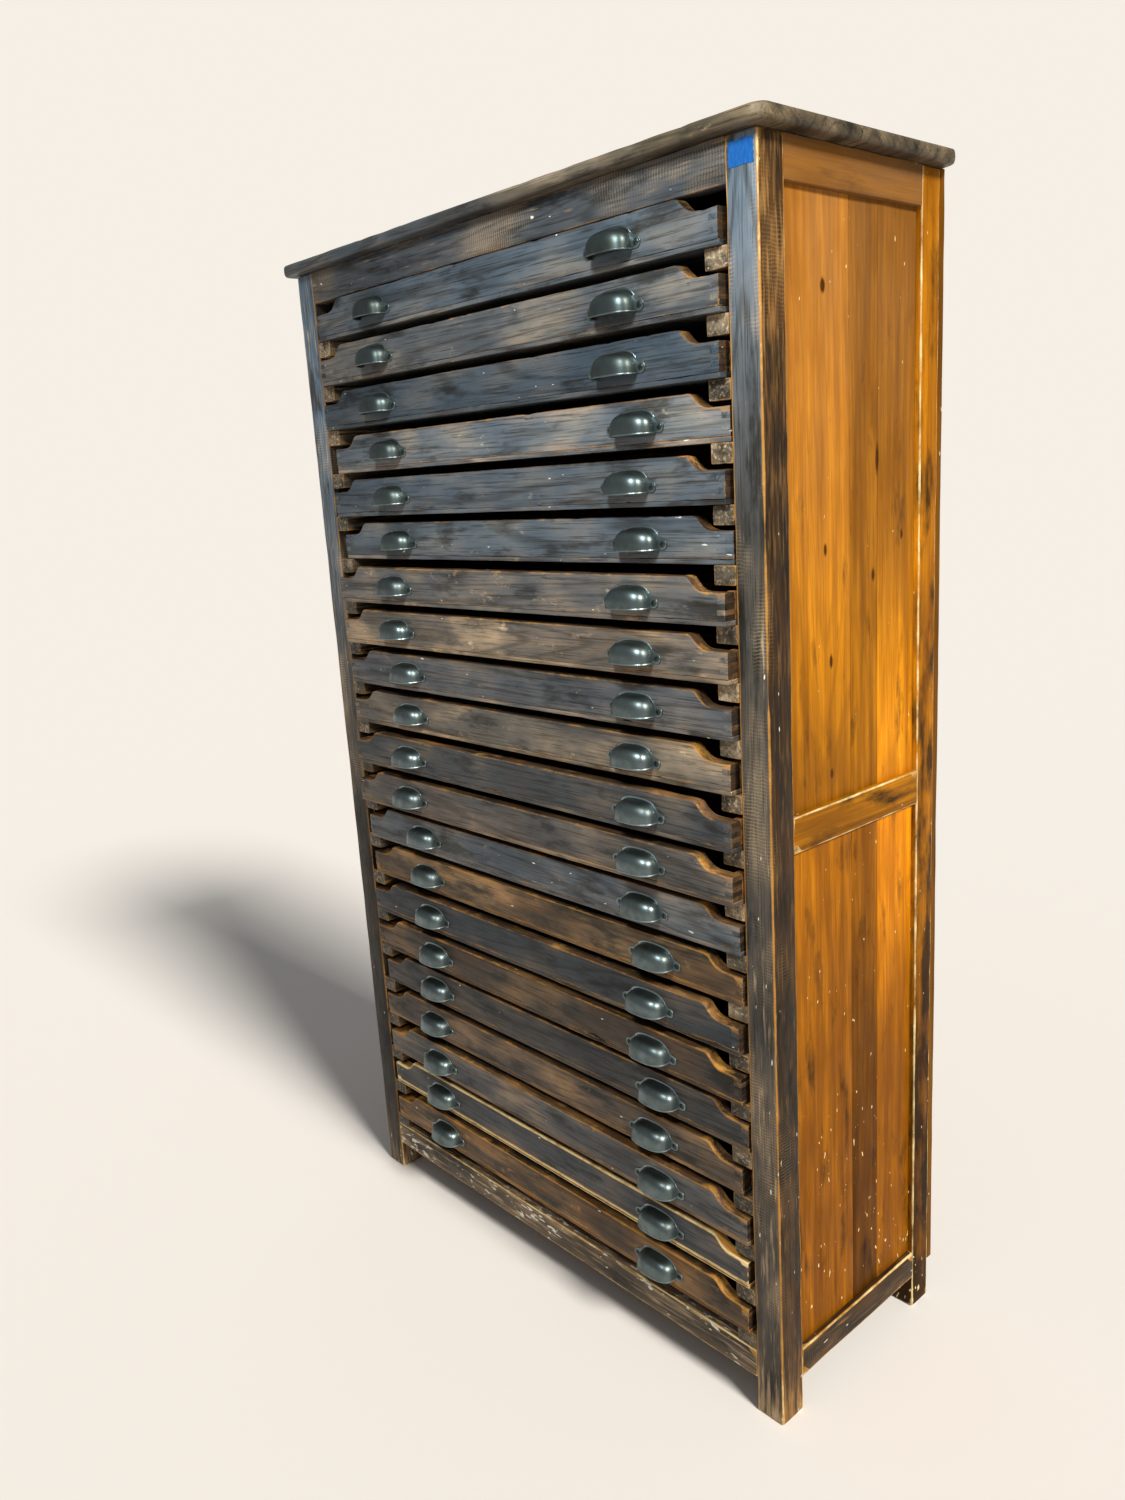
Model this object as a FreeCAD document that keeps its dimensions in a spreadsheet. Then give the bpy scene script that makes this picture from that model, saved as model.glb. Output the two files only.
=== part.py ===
"""Type case cabinet: a tall wooden frame with 21 shallow cases that slide on runners.

Every driving size is a cell of the sheet "Sizes", in millimetres. Each object is tied to
those cells, so a change of one size moves whatever fits to it.
Frame: +Z up, the cases open towards -Y, +X is the right-hand side seen from the front.
The origin is on the floor, at the centre of the whole object's box.
"""
import FreeCAD, Part
import os
import re
import Sketcher

DRAWER_COUNT = 21
FINGER_COUNT = 5
FRONT_ROW_CELLS = 4
BACK_ROW_CELLS = 6
BACK_BOARD_COUNT = 7
LEFT = -1
RIGHT = 1

SIZES = {
    # posts and rails
    "post_width": 43.0,
    "front_post_deep": 44.0,
    "rear_post_deep": 40.0,
    "opening_width": 840.0,
    "side_opening_deep": 270.0,
    "foot_high": 52.0,
    "foot_chamfer": 4.0,
    "bottom_rail_high": 42.0,
    "middle_rail_high": 46.0,
    "middle_rail_rise": 695.0,
    "top_rail_high": 47.0,
    "front_rail_thick": 24.0,
    "side_rail_thick": 22.0,
    "back_rail_thick": 14.0,
    "tenon_long": 20.0,
    "tenon_thick": 9.0,
    "joint_gap": 0.2,
    # panels in the sides and boards on the back
    "panel_thick": 8.0,
    "panel_recess": 8.0,
    "groove_deep": 8.0,
    "front_panel_board": 129.0,
    "middle_panel_board": 59.0,
    "board_gap": 0.6,
    "back_board_thick": 12.0,
    "back_board_lift": 10.0,
    # top
    "top_thick": 17.0,
    "top_front_overhang": 19.0,
    "top_side_overhang": 21.0,
    "top_front_board": 176.0,
    "top_corner_radius": 20.0,
    "top_edge_radius": 7.0,
    # runners
    "runner_width": 32.0,
    "runner_high": 23.0,
    "running_gap": 0.3,
    # cases
    "side_play": 11.0,
    "side_high": 38.8,
    "side_head_gap": 5.9,
    "front_gap": 11.5,
    "head_gap": 2.2,
    "home_recess": 4.0,
    "home_gap": 1.5,
    "front_thick": 18.0,
    "side_thick": 12.0,
    "back_thick": 12.0,
    "bottom_thick": 6.0,
    "end_flat": 30.0,
    "scoop_run": 32.0,
    "scoop_top_share": 0.3,
    "centre_bar_thick": 12.0,
    "centre_bar_high": 30.0,
    "slat_thick": 4.0,
    "slat_high": 26.0,
    "cell_deep": 124.0,
    # cup pulls and their screws
    "pull_offset": 252.0,
    "pull_lift": 17.0,
    "cup_half_width": 33.0,
    "cup_reach": 24.0,
    "cup_wall": 1.8,
    "brim_width": 2.5,
    "brim_thick": 1.6,
    "ear_reach": 47.0,
    "ear_radius": 6.5,
    "ear_thick": 1.6,
    "screw_radius": 2.0,
    "screw_gap": 0.15,
    "screw_long": 14.0,
    "screw_head_radius": 4.2,
    "screw_head_high": 2.0,
    "screw_slot_width": 1.0,
    "screw_slot_deep": 0.9,
    # sticker on the front right post
    "label_width": 33.0,
    "label_high": 25.0,
    "label_thick": 0.3,
    "label_drop": 21.0,
}

# How far each case stands out of its home position, counted down from the top case.
STAND_OUT = (11, 15, 15, 4, 12, 1, 22, 20, 15, 12, 22, 23, 11, 7, 12, 12, 5, 5, 10, 6, 9)
# How far each case sits over to the right in its side play, as a share of that play.
SIDE_SHARE = (0.4, 0.6, 0.4, 0.8, 0.5, 0.6, 0.8, 0.8, 0.7, 0.1, 0.8,
              0.8, 0.7, 0.6, 0.2, 0.4, 0.7, -0.4, 0.5, 0.2, 0.3)
# How far each pull was screwed on to the right of its marked place.
LEFT_PULL_ERROR = (2, 3, 0, 0, 10, 3, 8, 2, 14, 8, 6, -1, 11, 6, 15, 16, 1, -10, -4, -9, -2)
RIGHT_PULL_ERROR = (2, 7, 5, 20, 11, 15, 16, 15, 9, -1, 12, 10, 0, 15, 3, 5, 12, -5, 7, 0, -3)

FUNCTIONS = ("max", "sqrt")


def drawer_name(number):
    return f"drawer_{number:02d}"


def fill_sheet(doc):
    """Write each driving size into a cell that carries its name."""
    cells = dict(SIZES)
    for number in range(1, DRAWER_COUNT + 1):
        name = drawer_name(number)
        cells[f"{name}_stand_out"] = STAND_OUT[number - 1]
        cells[f"{name}_side_share"] = SIDE_SHARE[number - 1]
        cells[f"{name}_left_pull_error"] = LEFT_PULL_ERROR[number - 1]
        cells[f"{name}_right_pull_error"] = RIGHT_PULL_ERROR[number - 1]
    sheet = doc.addObject("Spreadsheet::Sheet", "Sizes")
    for row, (alias, value) in enumerate(cells.items(), start=1):
        sheet.set(f"A{row}", alias)
        sheet.set(f"B{row}", str(value))
        sheet.setAlias(f"B{row}", alias)
    doc.recompute()
    return sheet


doc = FreeCAD.newDocument("TypeCaseCabinet")
sheet = fill_sheet(doc)


def tied(formula):
    """Turn a formula of size names into an expression that reads the sheet."""
    def prefixed(match):
        word = match.group(0)
        return word if word in FUNCTIONS else f"Sizes.{word}"
    return re.sub(r"[a-z][a-z_0-9]*", prefixed, formula)


def value_of(formula):
    """The number that a formula of size names gives now."""
    return float(sheet.evalExpression(tied(formula)))


def bind(thing, **formulas):
    for prop, formula in formulas.items():
        thing.setExpression(prop, tied(formula))


def place(thing, x="0", y="0", z="0"):
    """Tie an object's position to formulas."""
    for axis, formula in zip("xyz", (x, y, z)):
        if formula != "0":
            thing.setExpression(f"Placement.Base.{axis}", tied(formula))


def box(name, size, corner):
    """A board with its lowest corner at corner, both given as three formulas."""
    board = doc.addObject("Part::Box", name)
    bind(board, Length=size[0], Width=size[1], Height=size[2])
    place(board, *corner)
    return board


def fuse(name, pieces):
    joined = doc.addObject("Part::MultiFuse", name)
    joined.Shapes = pieces
    joined.Refine = True
    return joined


def cut(name, base, tools):
    """Take the tools out of the base."""
    if len(tools) > 1:
        tool = doc.addObject("Part::Compound", f"{name}_tools")
        tool.Links = tools
    else:
        tool = tools[0]
    rest = doc.addObject("Part::Cut", name)
    rest.Base = base
    rest.Tool = tool
    rest.Refine = True
    return rest


def compound(name, pieces):
    group = doc.addObject("Part::Compound", name)
    group.Links = pieces
    return group


def link(name, source, x="0", y="0", z="0"):
    """One more copy of a piece that is made once."""
    copy = doc.addObject("App::Link", name)
    copy.LinkedObject = source
    place(copy, x, y, z)
    return copy


def sketch_on(body, role, name):
    """A new sketch on one of the body's own origin planes."""
    sketch = body.newObject("Sketcher::SketchObject", name)
    plane = next(item for item in body.Origin.OriginFeatures if item.Role == role)
    sketch.AttachmentSupport = (plane, [""])
    sketch.MapMode = "FlatFace"
    return sketch


def lock(sketch, geometry, vertex, x, y):
    """Tie one vertex of a sketch to its two formulas."""
    for kind, axis, formula in (("DistanceX", -2, x), ("DistanceY", -1, y)):
        if formula == "0":
            sketch.addConstraint(Sketcher.Constraint("PointOnObject", geometry, vertex, axis))
        else:
            rule = Sketcher.Constraint(kind, -1, 1, geometry, vertex, value_of(formula))
            index = sketch.addConstraint(rule)
            sketch.setExpression(f"Constraints[{index}]", tied(formula))


def arc_between(start, end, radius):
    """The short arc from start to end; it turns left where radius is positive."""
    chord = end - start
    half = chord.Length / 2
    side = 1 if radius > 0 else -1
    normal = FreeCAD.Vector(-chord.y, chord.x, 0).normalize() * side
    sagitta = abs(radius) - (radius * radius - half * half) ** 0.5
    middle = (start + end) * 0.5 - normal * sagitta
    return Part.Arc(start, middle, end)


def outline(sketch, corners):
    """Draw a closed outline. Each corner is (x, y) or, before an arc, (x, y, signed radius)."""
    points = [FreeCAD.Vector(value_of(c[0]), value_of(c[1]), 0) for c in corners]
    count = len(corners)
    first = sketch.GeometryCount
    for k, corner in enumerate(corners):
        start, end = points[k], points[(k + 1) % count]
        if len(corner) == 3:
            arc = arc_between(start, end, value_of(corner[2]))
            geometry = sketch.addGeometry(arc, False)
            size = Sketcher.Constraint("Radius", geometry, abs(value_of(corner[2])))
            index = sketch.addConstraint(size)
            sketch.setExpression(f"Constraints[{index}]", tied(corner[2].lstrip("-")))
        else:
            sketch.addGeometry(Part.LineSegment(start, end), False)
    for k, corner in enumerate(corners):
        here, following = first + k, first + (k + 1) % count
        # a counter-clockwise arc runs from its vertex 1 to its vertex 2, a clockwise one back
        head = start_vertex(corner)
        tail = 3 - head
        next_head = start_vertex(corners[(k + 1) % count])
        sketch.addConstraint(Sketcher.Constraint("Coincident", here, tail, following, next_head))
        lock(sketch, here, head, corner[0], corner[1])
    if sketch.solve() != 0:
        raise RuntimeError(f"{sketch.Name} can't be solved")


def start_vertex(corner):
    """The vertex number at which a side starts: arcs are stored counter-clockwise."""
    if len(corner) == 3 and value_of(corner[2]) < 0:
        return 2
    return 1


def circle(sketch, x, y, radius):
    """Draw a circle whose centre and radius are tied to formulas."""
    centre = FreeCAD.Vector(value_of(x), value_of(y), 0)
    ring = Part.Circle(centre, FreeCAD.Vector(0, 0, 1), value_of(radius))
    geometry = sketch.addGeometry(ring, False)
    index = sketch.addConstraint(Sketcher.Constraint("Radius", geometry, value_of(radius)))
    sketch.setExpression(f"Constraints[{index}]", tied(radius))
    lock(sketch, geometry, 3, x, y)


def rectangle(sketch, low, high):
    outline(sketch, [(low[0], low[1]), (high[0], low[1]), (high[0], high[1]), (low[0], high[1])])


def volume(body):
    return 0.0 if body.Shape.isNull() else body.Shape.Volume


def pad(body, sketch, length, name, reverse=False):
    """Add a sketch's prism to the body, and make sure that the body grew."""
    before = volume(body)
    feature = body.newObject("PartDesign::Pad", name)
    feature.Profile = sketch
    feature.Reversed = reverse
    bind(feature, Length=length)
    doc.recompute()
    if volume(body) < before + 1e-6:
        raise RuntimeError(f"{name} added nothing")


def pocket(body, sketch, length, name, reverse=False):
    """Cut a sketch's prism out of the body, and make sure that the body shrank."""
    before = volume(body)
    feature = body.newObject("PartDesign::Pocket", name)
    feature.Profile = sketch
    feature.Reversed = reverse
    bind(feature, Length=length)
    doc.recompute()
    if volume(body) > before - 1e-6:
        raise RuntimeError(f"{name} cut nothing")


def turn(body, sketch, axis, angle, name, reverse=False):
    """Turn a sketch about one of its own axes."""
    feature = body.newObject("PartDesign::Revolution", name)
    feature.Profile = sketch
    feature.ReferenceAxis = (sketch, [axis])
    feature.Angle = angle
    feature.Reversed = reverse
    doc.recompute()
    if volume(body) < 1e-6:
        raise RuntimeError(f"{name} made nothing")


def dress(body, kind, name, edges, **sizes):
    """Round or chamfer the named edges of the body's last feature."""
    last = body.Tip
    feature = body.newObject(kind, name)
    feature.Base = (last, edges)
    bind(feature, **sizes)
    doc.recompute()


def edges_where(shape, test):
    """The names of the edges whose every vertex and middle passes the test."""
    names = []
    for number, edge in enumerate(shape.Edges, start=1):
        middle = edge.valueAt((edge.FirstParameter + edge.LastParameter) / 2)
        if all(test(point) for point in [v.Point for v in edge.Vertexes] + [middle]):
            names.append(f"Edge{number}")
    return names


# ---------------------------------------------------------------- heights and places
CASE_PITCH = "(runner_high + running_gap + side_high + side_head_gap)"
FRONT_HIGH = f"({CASE_PITCH} - front_gap)"
RAIL_TOP = "(foot_high + bottom_rail_high)"
LOWEST_CASE = f"({RAIL_TOP} + runner_high + running_gap)"
TOP_RAIL_FOOT = f"({LOWEST_CASE} + {DRAWER_COUNT - 1} * {CASE_PITCH} + {FRONT_HIGH} + head_gap)"
POST_HIGH = f"({TOP_RAIL_FOOT} + top_rail_high)"
MIDDLE_RAIL_FOOT = f"({RAIL_TOP} + middle_rail_rise)"
HALF_OPENING = "(opening_width / 2)"
HALF_FRAME = "(opening_width / 2 + post_width)"
# tenons start just past the panel grooves, so that the panels' corners stay clear of them
TENON_SHOULDER = "(groove_deep + joint_gap)"
REAR_POST_FRONT = "(front_post_deep + side_opening_deep)"
FRAME_DEEP = "(front_post_deep + side_opening_deep + rear_post_deep)"
WHOLE_DEEP = f"({FRAME_DEEP} + back_board_thick)"
FARTHEST_OUT = "max(" + "; ".join(
    f"{drawer_name(number)}_stand_out" for number in range(1, DRAWER_COUNT + 1)) + ")"
FRONT_REACH = f"({FARTHEST_OUT} - home_recess + cup_reach + brim_width)"
# the plane of the posts' front faces, with the origin in the middle of the whole depth
FRONT_PLANE = f"(({FRONT_REACH} - {WHOLE_DEEP}) / 2)"
CASE_WIDTH = "(opening_width - 2 * side_play)"
CASE_LONG = f"({FRAME_DEEP} - home_recess - home_gap)"

nodes = {}


def keep(name, thing, x="0", y=FRONT_PLANE, z="0"):
    """Name a finished sub-part and put it where it belongs in the object's frame."""
    thing.Label = name
    place(thing, x, y, z)
    nodes[name] = thing


# ---------------------------------------------------------------- posts
TENON_CENTRE = {
    "front": "(front_rail_thick / 2)",
    "side": "(side_rail_thick / 2)",
    "back": "(back_rail_thick / 2)",
}
SIDE_RAILS = (
    ("foot_high", "bottom_rail_high"),
    (MIDDLE_RAIL_FOOT, "middle_rail_high"),
    (TOP_RAIL_FOOT, "top_rail_high"),
)
END_RAILS = (SIDE_RAILS[0], SIDE_RAILS[2])


def mortise(sketch, centre, foot, high, sign):
    """One mortise, a joint gap larger than its tenon. centre is counted from the face."""
    half = "(tenon_thick / 2 + joint_gap)"
    across = f"{sign} * ({centre} - {half})", f"{sign} * ({centre} + {half})"
    low = f"{foot} + {TENON_SHOULDER} - joint_gap"
    top = f"{foot} + {high} - {TENON_SHOULDER} + joint_gap"
    if sign < 0:
        across = across[::-1]
    rectangle(sketch, (across[0], low), (across[1], top))


def post(name, side, is_front):
    """A square post whose own origin is the corner that faces the inside of the frame.

    The face towards the other post of its pair lies in the body's YZ plane, and the face
    towards the post behind or before it lies in the body's XZ plane.
    """
    deep = "front_post_deep" if is_front else "rear_post_deep"
    away = -1 if is_front else 1
    body = doc.addObject("PartDesign::Body", name)
    section = sketch_on(body, "XY_Plane", f"{name}_section")
    xs = ("0", "post_width") if side == RIGHT else ("-post_width", "0")
    ys = (f"-{deep}", "0") if is_front else ("0", deep)
    rectangle(section, (xs[0], ys[0]), (xs[1], ys[1]))
    pad(body, section, POST_HIGH, f"{name}_length")

    # mortises for the front or back rails, in the face towards the other post
    ends = sketch_on(body, "YZ_Plane", f"{name}_end_mortises")
    centre = TENON_CENTRE["front" if is_front else "back"]
    for foot, high in END_RAILS:
        mortise(ends, f"({deep} - {centre})", foot, high, away)
    pocket(body, ends, "tenon_long + joint_gap", f"{name}_end_cuts", reverse=side == RIGHT)

    # mortises for the side rails, and the groove that holds the side panels
    sides = sketch_on(body, "XZ_Plane", f"{name}_side_mortises")
    for foot, high in SIDE_RAILS:
        mortise(sides, f"(post_width - {TENON_CENTRE['side']})", foot, high, side)
    pocket(body, sides, "tenon_long + joint_gap", f"{name}_side_cuts", reverse=is_front)
    groove = sketch_on(body, "XZ_Plane", f"{name}_groove")
    far = f"{side} * (post_width - panel_recess + joint_gap)"
    near = f"{side} * (post_width - panel_recess - panel_thick - joint_gap)"
    if side == LEFT:
        far, near = near, far
    rectangle(groove, (near, f"{RAIL_TOP} - groove_deep - joint_gap"),
              (far, f"{TOP_RAIL_FOOT} + groove_deep + joint_gap"))
    pocket(body, groove, "groove_deep + joint_gap", f"{name}_groove_cut", reverse=is_front)

    foot_edges = edges_where(body.Shape, lambda point: abs(point.z) < 1e-6)
    dress(body, "PartDesign::Chamfer", f"{name}_foot", foot_edges, Size="foot_chamfer")
    y = "front_post_deep" if is_front else REAR_POST_FRONT
    keep(name, body, x=f"{side} * {HALF_OPENING}", y=f"{FRONT_PLANE} + {y}")


post("front_post_left", LEFT, True)
post("front_post_right", RIGHT, True)
post("rear_post_left", LEFT, False)
post("rear_post_right", RIGHT, False)


# ---------------------------------------------------------------- rails
def cross_rail(name, y, thick, foot, high):
    """A rail that runs from left to right, with a tenon at each end."""
    rail = box(f"{name}_board", ("opening_width", thick, high), (f"-{HALF_OPENING}", y, foot))
    tenon_y = f"{y} + ({thick} - tenon_thick) / 2"
    tenon = box(
        f"{name}_tenons",
        ("opening_width + 2 * tenon_long", "tenon_thick", f"{high} - 2 * {TENON_SHOULDER}"),
        (f"-{HALF_OPENING} - tenon_long", tenon_y, f"{foot} + {TENON_SHOULDER}"),
    )
    return fuse(name, [rail, tenon])


def side_rails(name, side):
    """Three rails from front post to rear post, grooved for the panels between them."""
    rails = []
    outer_x = f"{side} * {HALF_FRAME}"
    low_x = f"{outer_x} - side_rail_thick" if side == RIGHT else outer_x
    tenon_x = f"{low_x} + (side_rail_thick - tenon_thick) / 2"
    groove_width = "panel_thick + 2 * joint_gap"
    groove_x = f"{HALF_FRAME} - panel_recess - panel_thick - joint_gap"
    if side == LEFT:
        groove_x = f"-{HALF_FRAME} + panel_recess - joint_gap"
    for number, (foot, high) in enumerate(SIDE_RAILS, start=1):
        label = f"{name}_{number}"
        board = box(f"{label}_board", ("side_rail_thick", "side_opening_deep", high),
                    (low_x, "front_post_deep", foot))
        tenons = box(
            f"{label}_tenons",
            ("tenon_thick", "side_opening_deep + 2 * tenon_long",
             f"{high} - 2 * {TENON_SHOULDER}"),
            (tenon_x, "front_post_deep - tenon_long", f"{foot} + {TENON_SHOULDER}"),
        )
        rail = fuse(f"{label}_rail", [board, tenons])
        grooves = []
        if number > 1:
            grooves.append(box(f"{label}_lower_groove",
                               (groove_width, "side_opening_deep", "groove_deep + joint_gap"),
                               (groove_x, "front_post_deep", foot)))
        if number < len(SIDE_RAILS):
            grooves.append(box(f"{label}_upper_groove",
                               (groove_width, "side_opening_deep", "groove_deep + joint_gap"),
                               (groove_x, "front_post_deep",
                                f"{foot} + {high} - groove_deep - joint_gap")))
        rails.append(cut(label, rail, grooves))
    keep(name, compound(f"{name}_set", rails))


keep("front_top_rail",
     cross_rail("front_top", "0", "front_rail_thick", TOP_RAIL_FOOT, "top_rail_high"))
keep("front_bottom_rail",
     cross_rail("front_bottom", "0", "front_rail_thick", "foot_high", "bottom_rail_high"))
BACK_RAIL_Y = f"({FRAME_DEEP} - back_rail_thick)"
keep("back_top_rail",
     cross_rail("back_top", BACK_RAIL_Y, "back_rail_thick", TOP_RAIL_FOOT, "top_rail_high"))
keep("back_bottom_rail",
     cross_rail("back_bottom", BACK_RAIL_Y, "back_rail_thick", "foot_high", "bottom_rail_high"))
side_rails("left_side_rails", LEFT)
side_rails("right_side_rails", RIGHT)


# ---------------------------------------------------------------- side panels and back
def side_panels(name, side):
    """Two panels of three upright boards, which float in the grooves of posts and rails."""
    x = f"{HALF_FRAME} - panel_recess - panel_thick" if side == RIGHT else (
        f"-{HALF_FRAME} + panel_recess")
    widths = (
        "groove_deep + front_panel_board",
        "middle_panel_board",
        "groove_deep + side_opening_deep - front_panel_board - middle_panel_board",
    )
    starts = (
        "front_post_deep - groove_deep",
        "front_post_deep + front_panel_board",
        "front_post_deep + front_panel_board + middle_panel_board",
    )
    spans = (
        ("lower", RAIL_TOP, MIDDLE_RAIL_FOOT),
        ("upper", f"({MIDDLE_RAIL_FOOT} + middle_rail_high)", TOP_RAIL_FOOT),
    )
    boards = []
    for level, low, high in spans:
        for number, (start, width) in enumerate(zip(starts, widths), start=1):
            is_last = number == len(widths)
            gap = "0" if is_last else "board_gap"
            boards.append(box(f"{name}_{level}_{number}",
                              ("panel_thick", f"{width} - {gap}",
                               f"{high} - {low} + 2 * groove_deep"),
                              (x, start, f"{low} - groove_deep")))
    keep(name, compound(f"{name}_set", boards))


side_panels("left_side_panels", LEFT)
side_panels("right_side_panels", RIGHT)

back_boards = []
BACK_BOARD_STEP = f"(2 * {HALF_FRAME} / {BACK_BOARD_COUNT})"
for board_number in range(BACK_BOARD_COUNT):
    back_boards.append(box(
        f"back_board_{board_number + 1}",
        (f"{BACK_BOARD_STEP} - board_gap", "back_board_thick",
         f"{POST_HIGH} - foot_high - back_board_lift"),
        (f"-{HALF_FRAME} + {board_number} * {BACK_BOARD_STEP} + board_gap / 2", FRAME_DEEP,
         "foot_high + back_board_lift")))
keep("back_boards", compound("back_board_set", back_boards))


# ---------------------------------------------------------------- top
def top_board(name, front, rear, is_front):
    """Half of the top: two rounded corners and rounded outer edges, square at the seam."""
    half = f"({HALF_FRAME} + top_side_overhang)"
    radius = "top_corner_radius"
    body = doc.addObject("PartDesign::Body", name)
    plan = sketch_on(body, "XY_Plane", f"{name}_plan")
    if is_front:
        corners = [
            (f"-{half}", rear), (f"-{half}", f"{front} + {radius}", radius),
            (f"-{half} + {radius}", front), (f"{half} - {radius}", front, radius),
            (half, f"{front} + {radius}"), (half, rear),
        ]
    else:
        corners = [
            (half, front), (half, f"{rear} - {radius}", radius),
            (f"{half} - {radius}", rear), (f"-{half} + {radius}", rear, radius),
            (f"-{half}", f"{rear} - {radius}"), (f"-{half}", front),
        ]
    outline(plan, corners)
    pad(body, plan, "top_thick", f"{name}_thickness")
    seam = value_of(rear if is_front else front)
    thick = value_of("top_thick")

    lower = edges_where(body.Shape, lambda point: abs(point.z) < 1e-6)
    upper = edges_where(body.Shape, lambda point: abs(point.z - thick) < 1e-6)
    inner = edges_where(body.Shape, lambda point: abs(point.y - seam) < 1e-6)
    rim = [edge for edge in lower + upper if edge not in inner]
    dress(body, "PartDesign::Fillet", f"{name}_rounding", rim, Radius="top_edge_radius")
    keep(name, body, z=POST_HIGH)


TOP_SEAM = "(top_front_board - top_front_overhang)"
top_board("top_front_board", "-top_front_overhang", f"{TOP_SEAM} - board_gap", True)
top_board("top_rear_board", TOP_SEAM, WHOLE_DEEP, False)


# ---------------------------------------------------------------- runners
def runners(name, side):
    """One wooden bar under each case, from the front post to the rear post."""
    x = f"-{HALF_OPENING}" if side == LEFT else f"{HALF_OPENING} - runner_width"
    bars = []
    for number in range(DRAWER_COUNT):
        bars.append(box(f"{name}_{number + 1}", ("runner_width", FRAME_DEEP, "runner_high"),
                        (x, "0", f"{RAIL_TOP} + {number} * {CASE_PITCH}")))
    keep(name, compound(f"{name}_set", bars))


runners("left_runners", LEFT)
runners("right_runners", RIGHT)


# ---------------------------------------------------------------- one case
HALF_CASE = f"({CASE_WIDTH} / 2)"
FINGER = f"((side_high - bottom_thick) / {FINGER_COUNT})"


def finger_level(number):
    """The height of a finger joint's band edge above the case's underside."""
    return f"bottom_thick + {number} * {FINGER}"


def case_front():
    """The front board: high in the middle, with an ogee down to a low end at each side."""
    body = doc.addObject("PartDesign::Body", "case_front")
    face = sketch_on(body, "XZ_Plane", "case_front_face")
    drop = f"({FRONT_HIGH} - side_high)"
    # two tangent arcs with level ends: their radii add up to this
    both_radii = f"((scoop_run * scoop_run + {drop} * {drop}) / (2 * {drop}))"
    upper_radius = f"(scoop_top_share * {both_radii})"
    lower_radius = f"((1 - scoop_top_share) * {both_radii})"
    low_x = f"({HALF_CASE} - end_flat)"
    high_x = f"({HALF_CASE} - end_flat - scoop_run)"
    turn_x = f"({high_x} + scoop_top_share * scoop_run)"
    turn_z = f"{FRONT_HIGH} - scoop_top_share * {drop}"
    outline(face, [
        (f"-{HALF_CASE}", "bottom_thick"),
        (HALF_CASE, "bottom_thick"),
        (HALF_CASE, "side_high"),
        (low_x, "side_high", f"-{lower_radius}"),
        (turn_x, turn_z, upper_radius),
        (high_x, FRONT_HIGH),
        (f"-{high_x}", FRONT_HIGH, upper_radius),
        (f"-{turn_x}", turn_z, f"-{lower_radius}"),
        (f"-{low_x}", "side_high"),
        (f"-{HALF_CASE}", "side_high"),
    ])
    pad(body, face, "front_thick", "case_front_board", reverse=True)
    notches = sketch_on(body, "XZ_Plane", "case_front_notches")
    for band in range(1, FINGER_COUNT, 2):
        low, high = finger_level(band), finger_level(band + 1)
        rectangle(notches, (f"-{HALF_CASE}", low), (f"-{HALF_CASE} + side_thick", high))
        rectangle(notches, (f"{HALF_CASE} - side_thick", low), (HALF_CASE, high))
    pocket(body, notches, "front_thick", "case_front_fingers")
    return body


def case_side():
    """A side board whose fingers reach through the front board's notches."""
    body = doc.addObject("PartDesign::Body", "case_side")
    face = sketch_on(body, "YZ_Plane", "case_side_face")
    corners = [(CASE_LONG, "side_high")]
    for band in range(FINGER_COUNT, 0, -1):
        y = "front_thick" if band % 2 else "0"
        corners.append((y, finger_level(band)))
        corners.append((y, finger_level(band - 1)))
    corners.append((CASE_LONG, "bottom_thick"))
    outline(face, corners)
    pad(body, face, "side_thick", "case_side_board")
    place(body, x=f"-{HALF_CASE}")
    return body


def case_slats():
    """The dividers: a bar down the middle and slats that make cells for the type."""
    inner_front = "front_thick"
    inner_deep = f"({CASE_LONG} - front_thick - back_thick)"
    half_width = f"({HALF_CASE} - side_thick - centre_bar_thick / 2)"
    back_row_deep = f"({inner_deep} - 2 * cell_deep - 2 * slat_thick)"
    rows = (
        (inner_front, "cell_deep", FRONT_ROW_CELLS),
        (f"{inner_front} + cell_deep + slat_thick", "cell_deep", FRONT_ROW_CELLS),
        (f"{inner_front} + 2 * cell_deep + 2 * slat_thick", back_row_deep, BACK_ROW_CELLS),
    )
    slats = [box("centre_bar", ("centre_bar_thick", inner_deep, "centre_bar_high"),
                 ("-centre_bar_thick / 2", inner_front, "bottom_thick"))]
    for side, half_start in (("left", f"-{HALF_CASE} + side_thick"),
                             ("right", "centre_bar_thick / 2")):
        for row, (start, deep, cells) in enumerate(rows, start=1):
            if row > 1:
                slats.append(box(f"{side}_long_slat_{row - 1}",
                                 (half_width, "slat_thick", "slat_high"),
                                 (half_start, f"{start} - slat_thick", "bottom_thick")))
            step = f"(({half_width} + slat_thick) / {cells})"
            for cell in range(1, cells):
                x = f"{half_start} + {cell} * {step} - slat_thick"
                slats.append(box(f"{side}_short_slat_{row}_{cell}",
                                 ("slat_thick", deep, "slat_high"),
                                 (x, start, "bottom_thick")))
    return slats


front_board = case_front()
left_board = case_side()
right_board = link("case_right_side", left_board, x=f"{HALF_CASE} - side_thick")
back_board = box(
    "case_back", (f"{CASE_WIDTH} - 2 * side_thick", "back_thick", "side_high - bottom_thick"),
    (f"-{HALF_CASE} + side_thick", f"{CASE_LONG} - back_thick", "bottom_thick"))
bottom_board = box("case_bottom", (CASE_WIDTH, CASE_LONG, "bottom_thick"),
                   (f"-{HALF_CASE}", "0", "0"))
case_pieces = [left_board, right_board, back_board, bottom_board] + case_slats()


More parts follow.
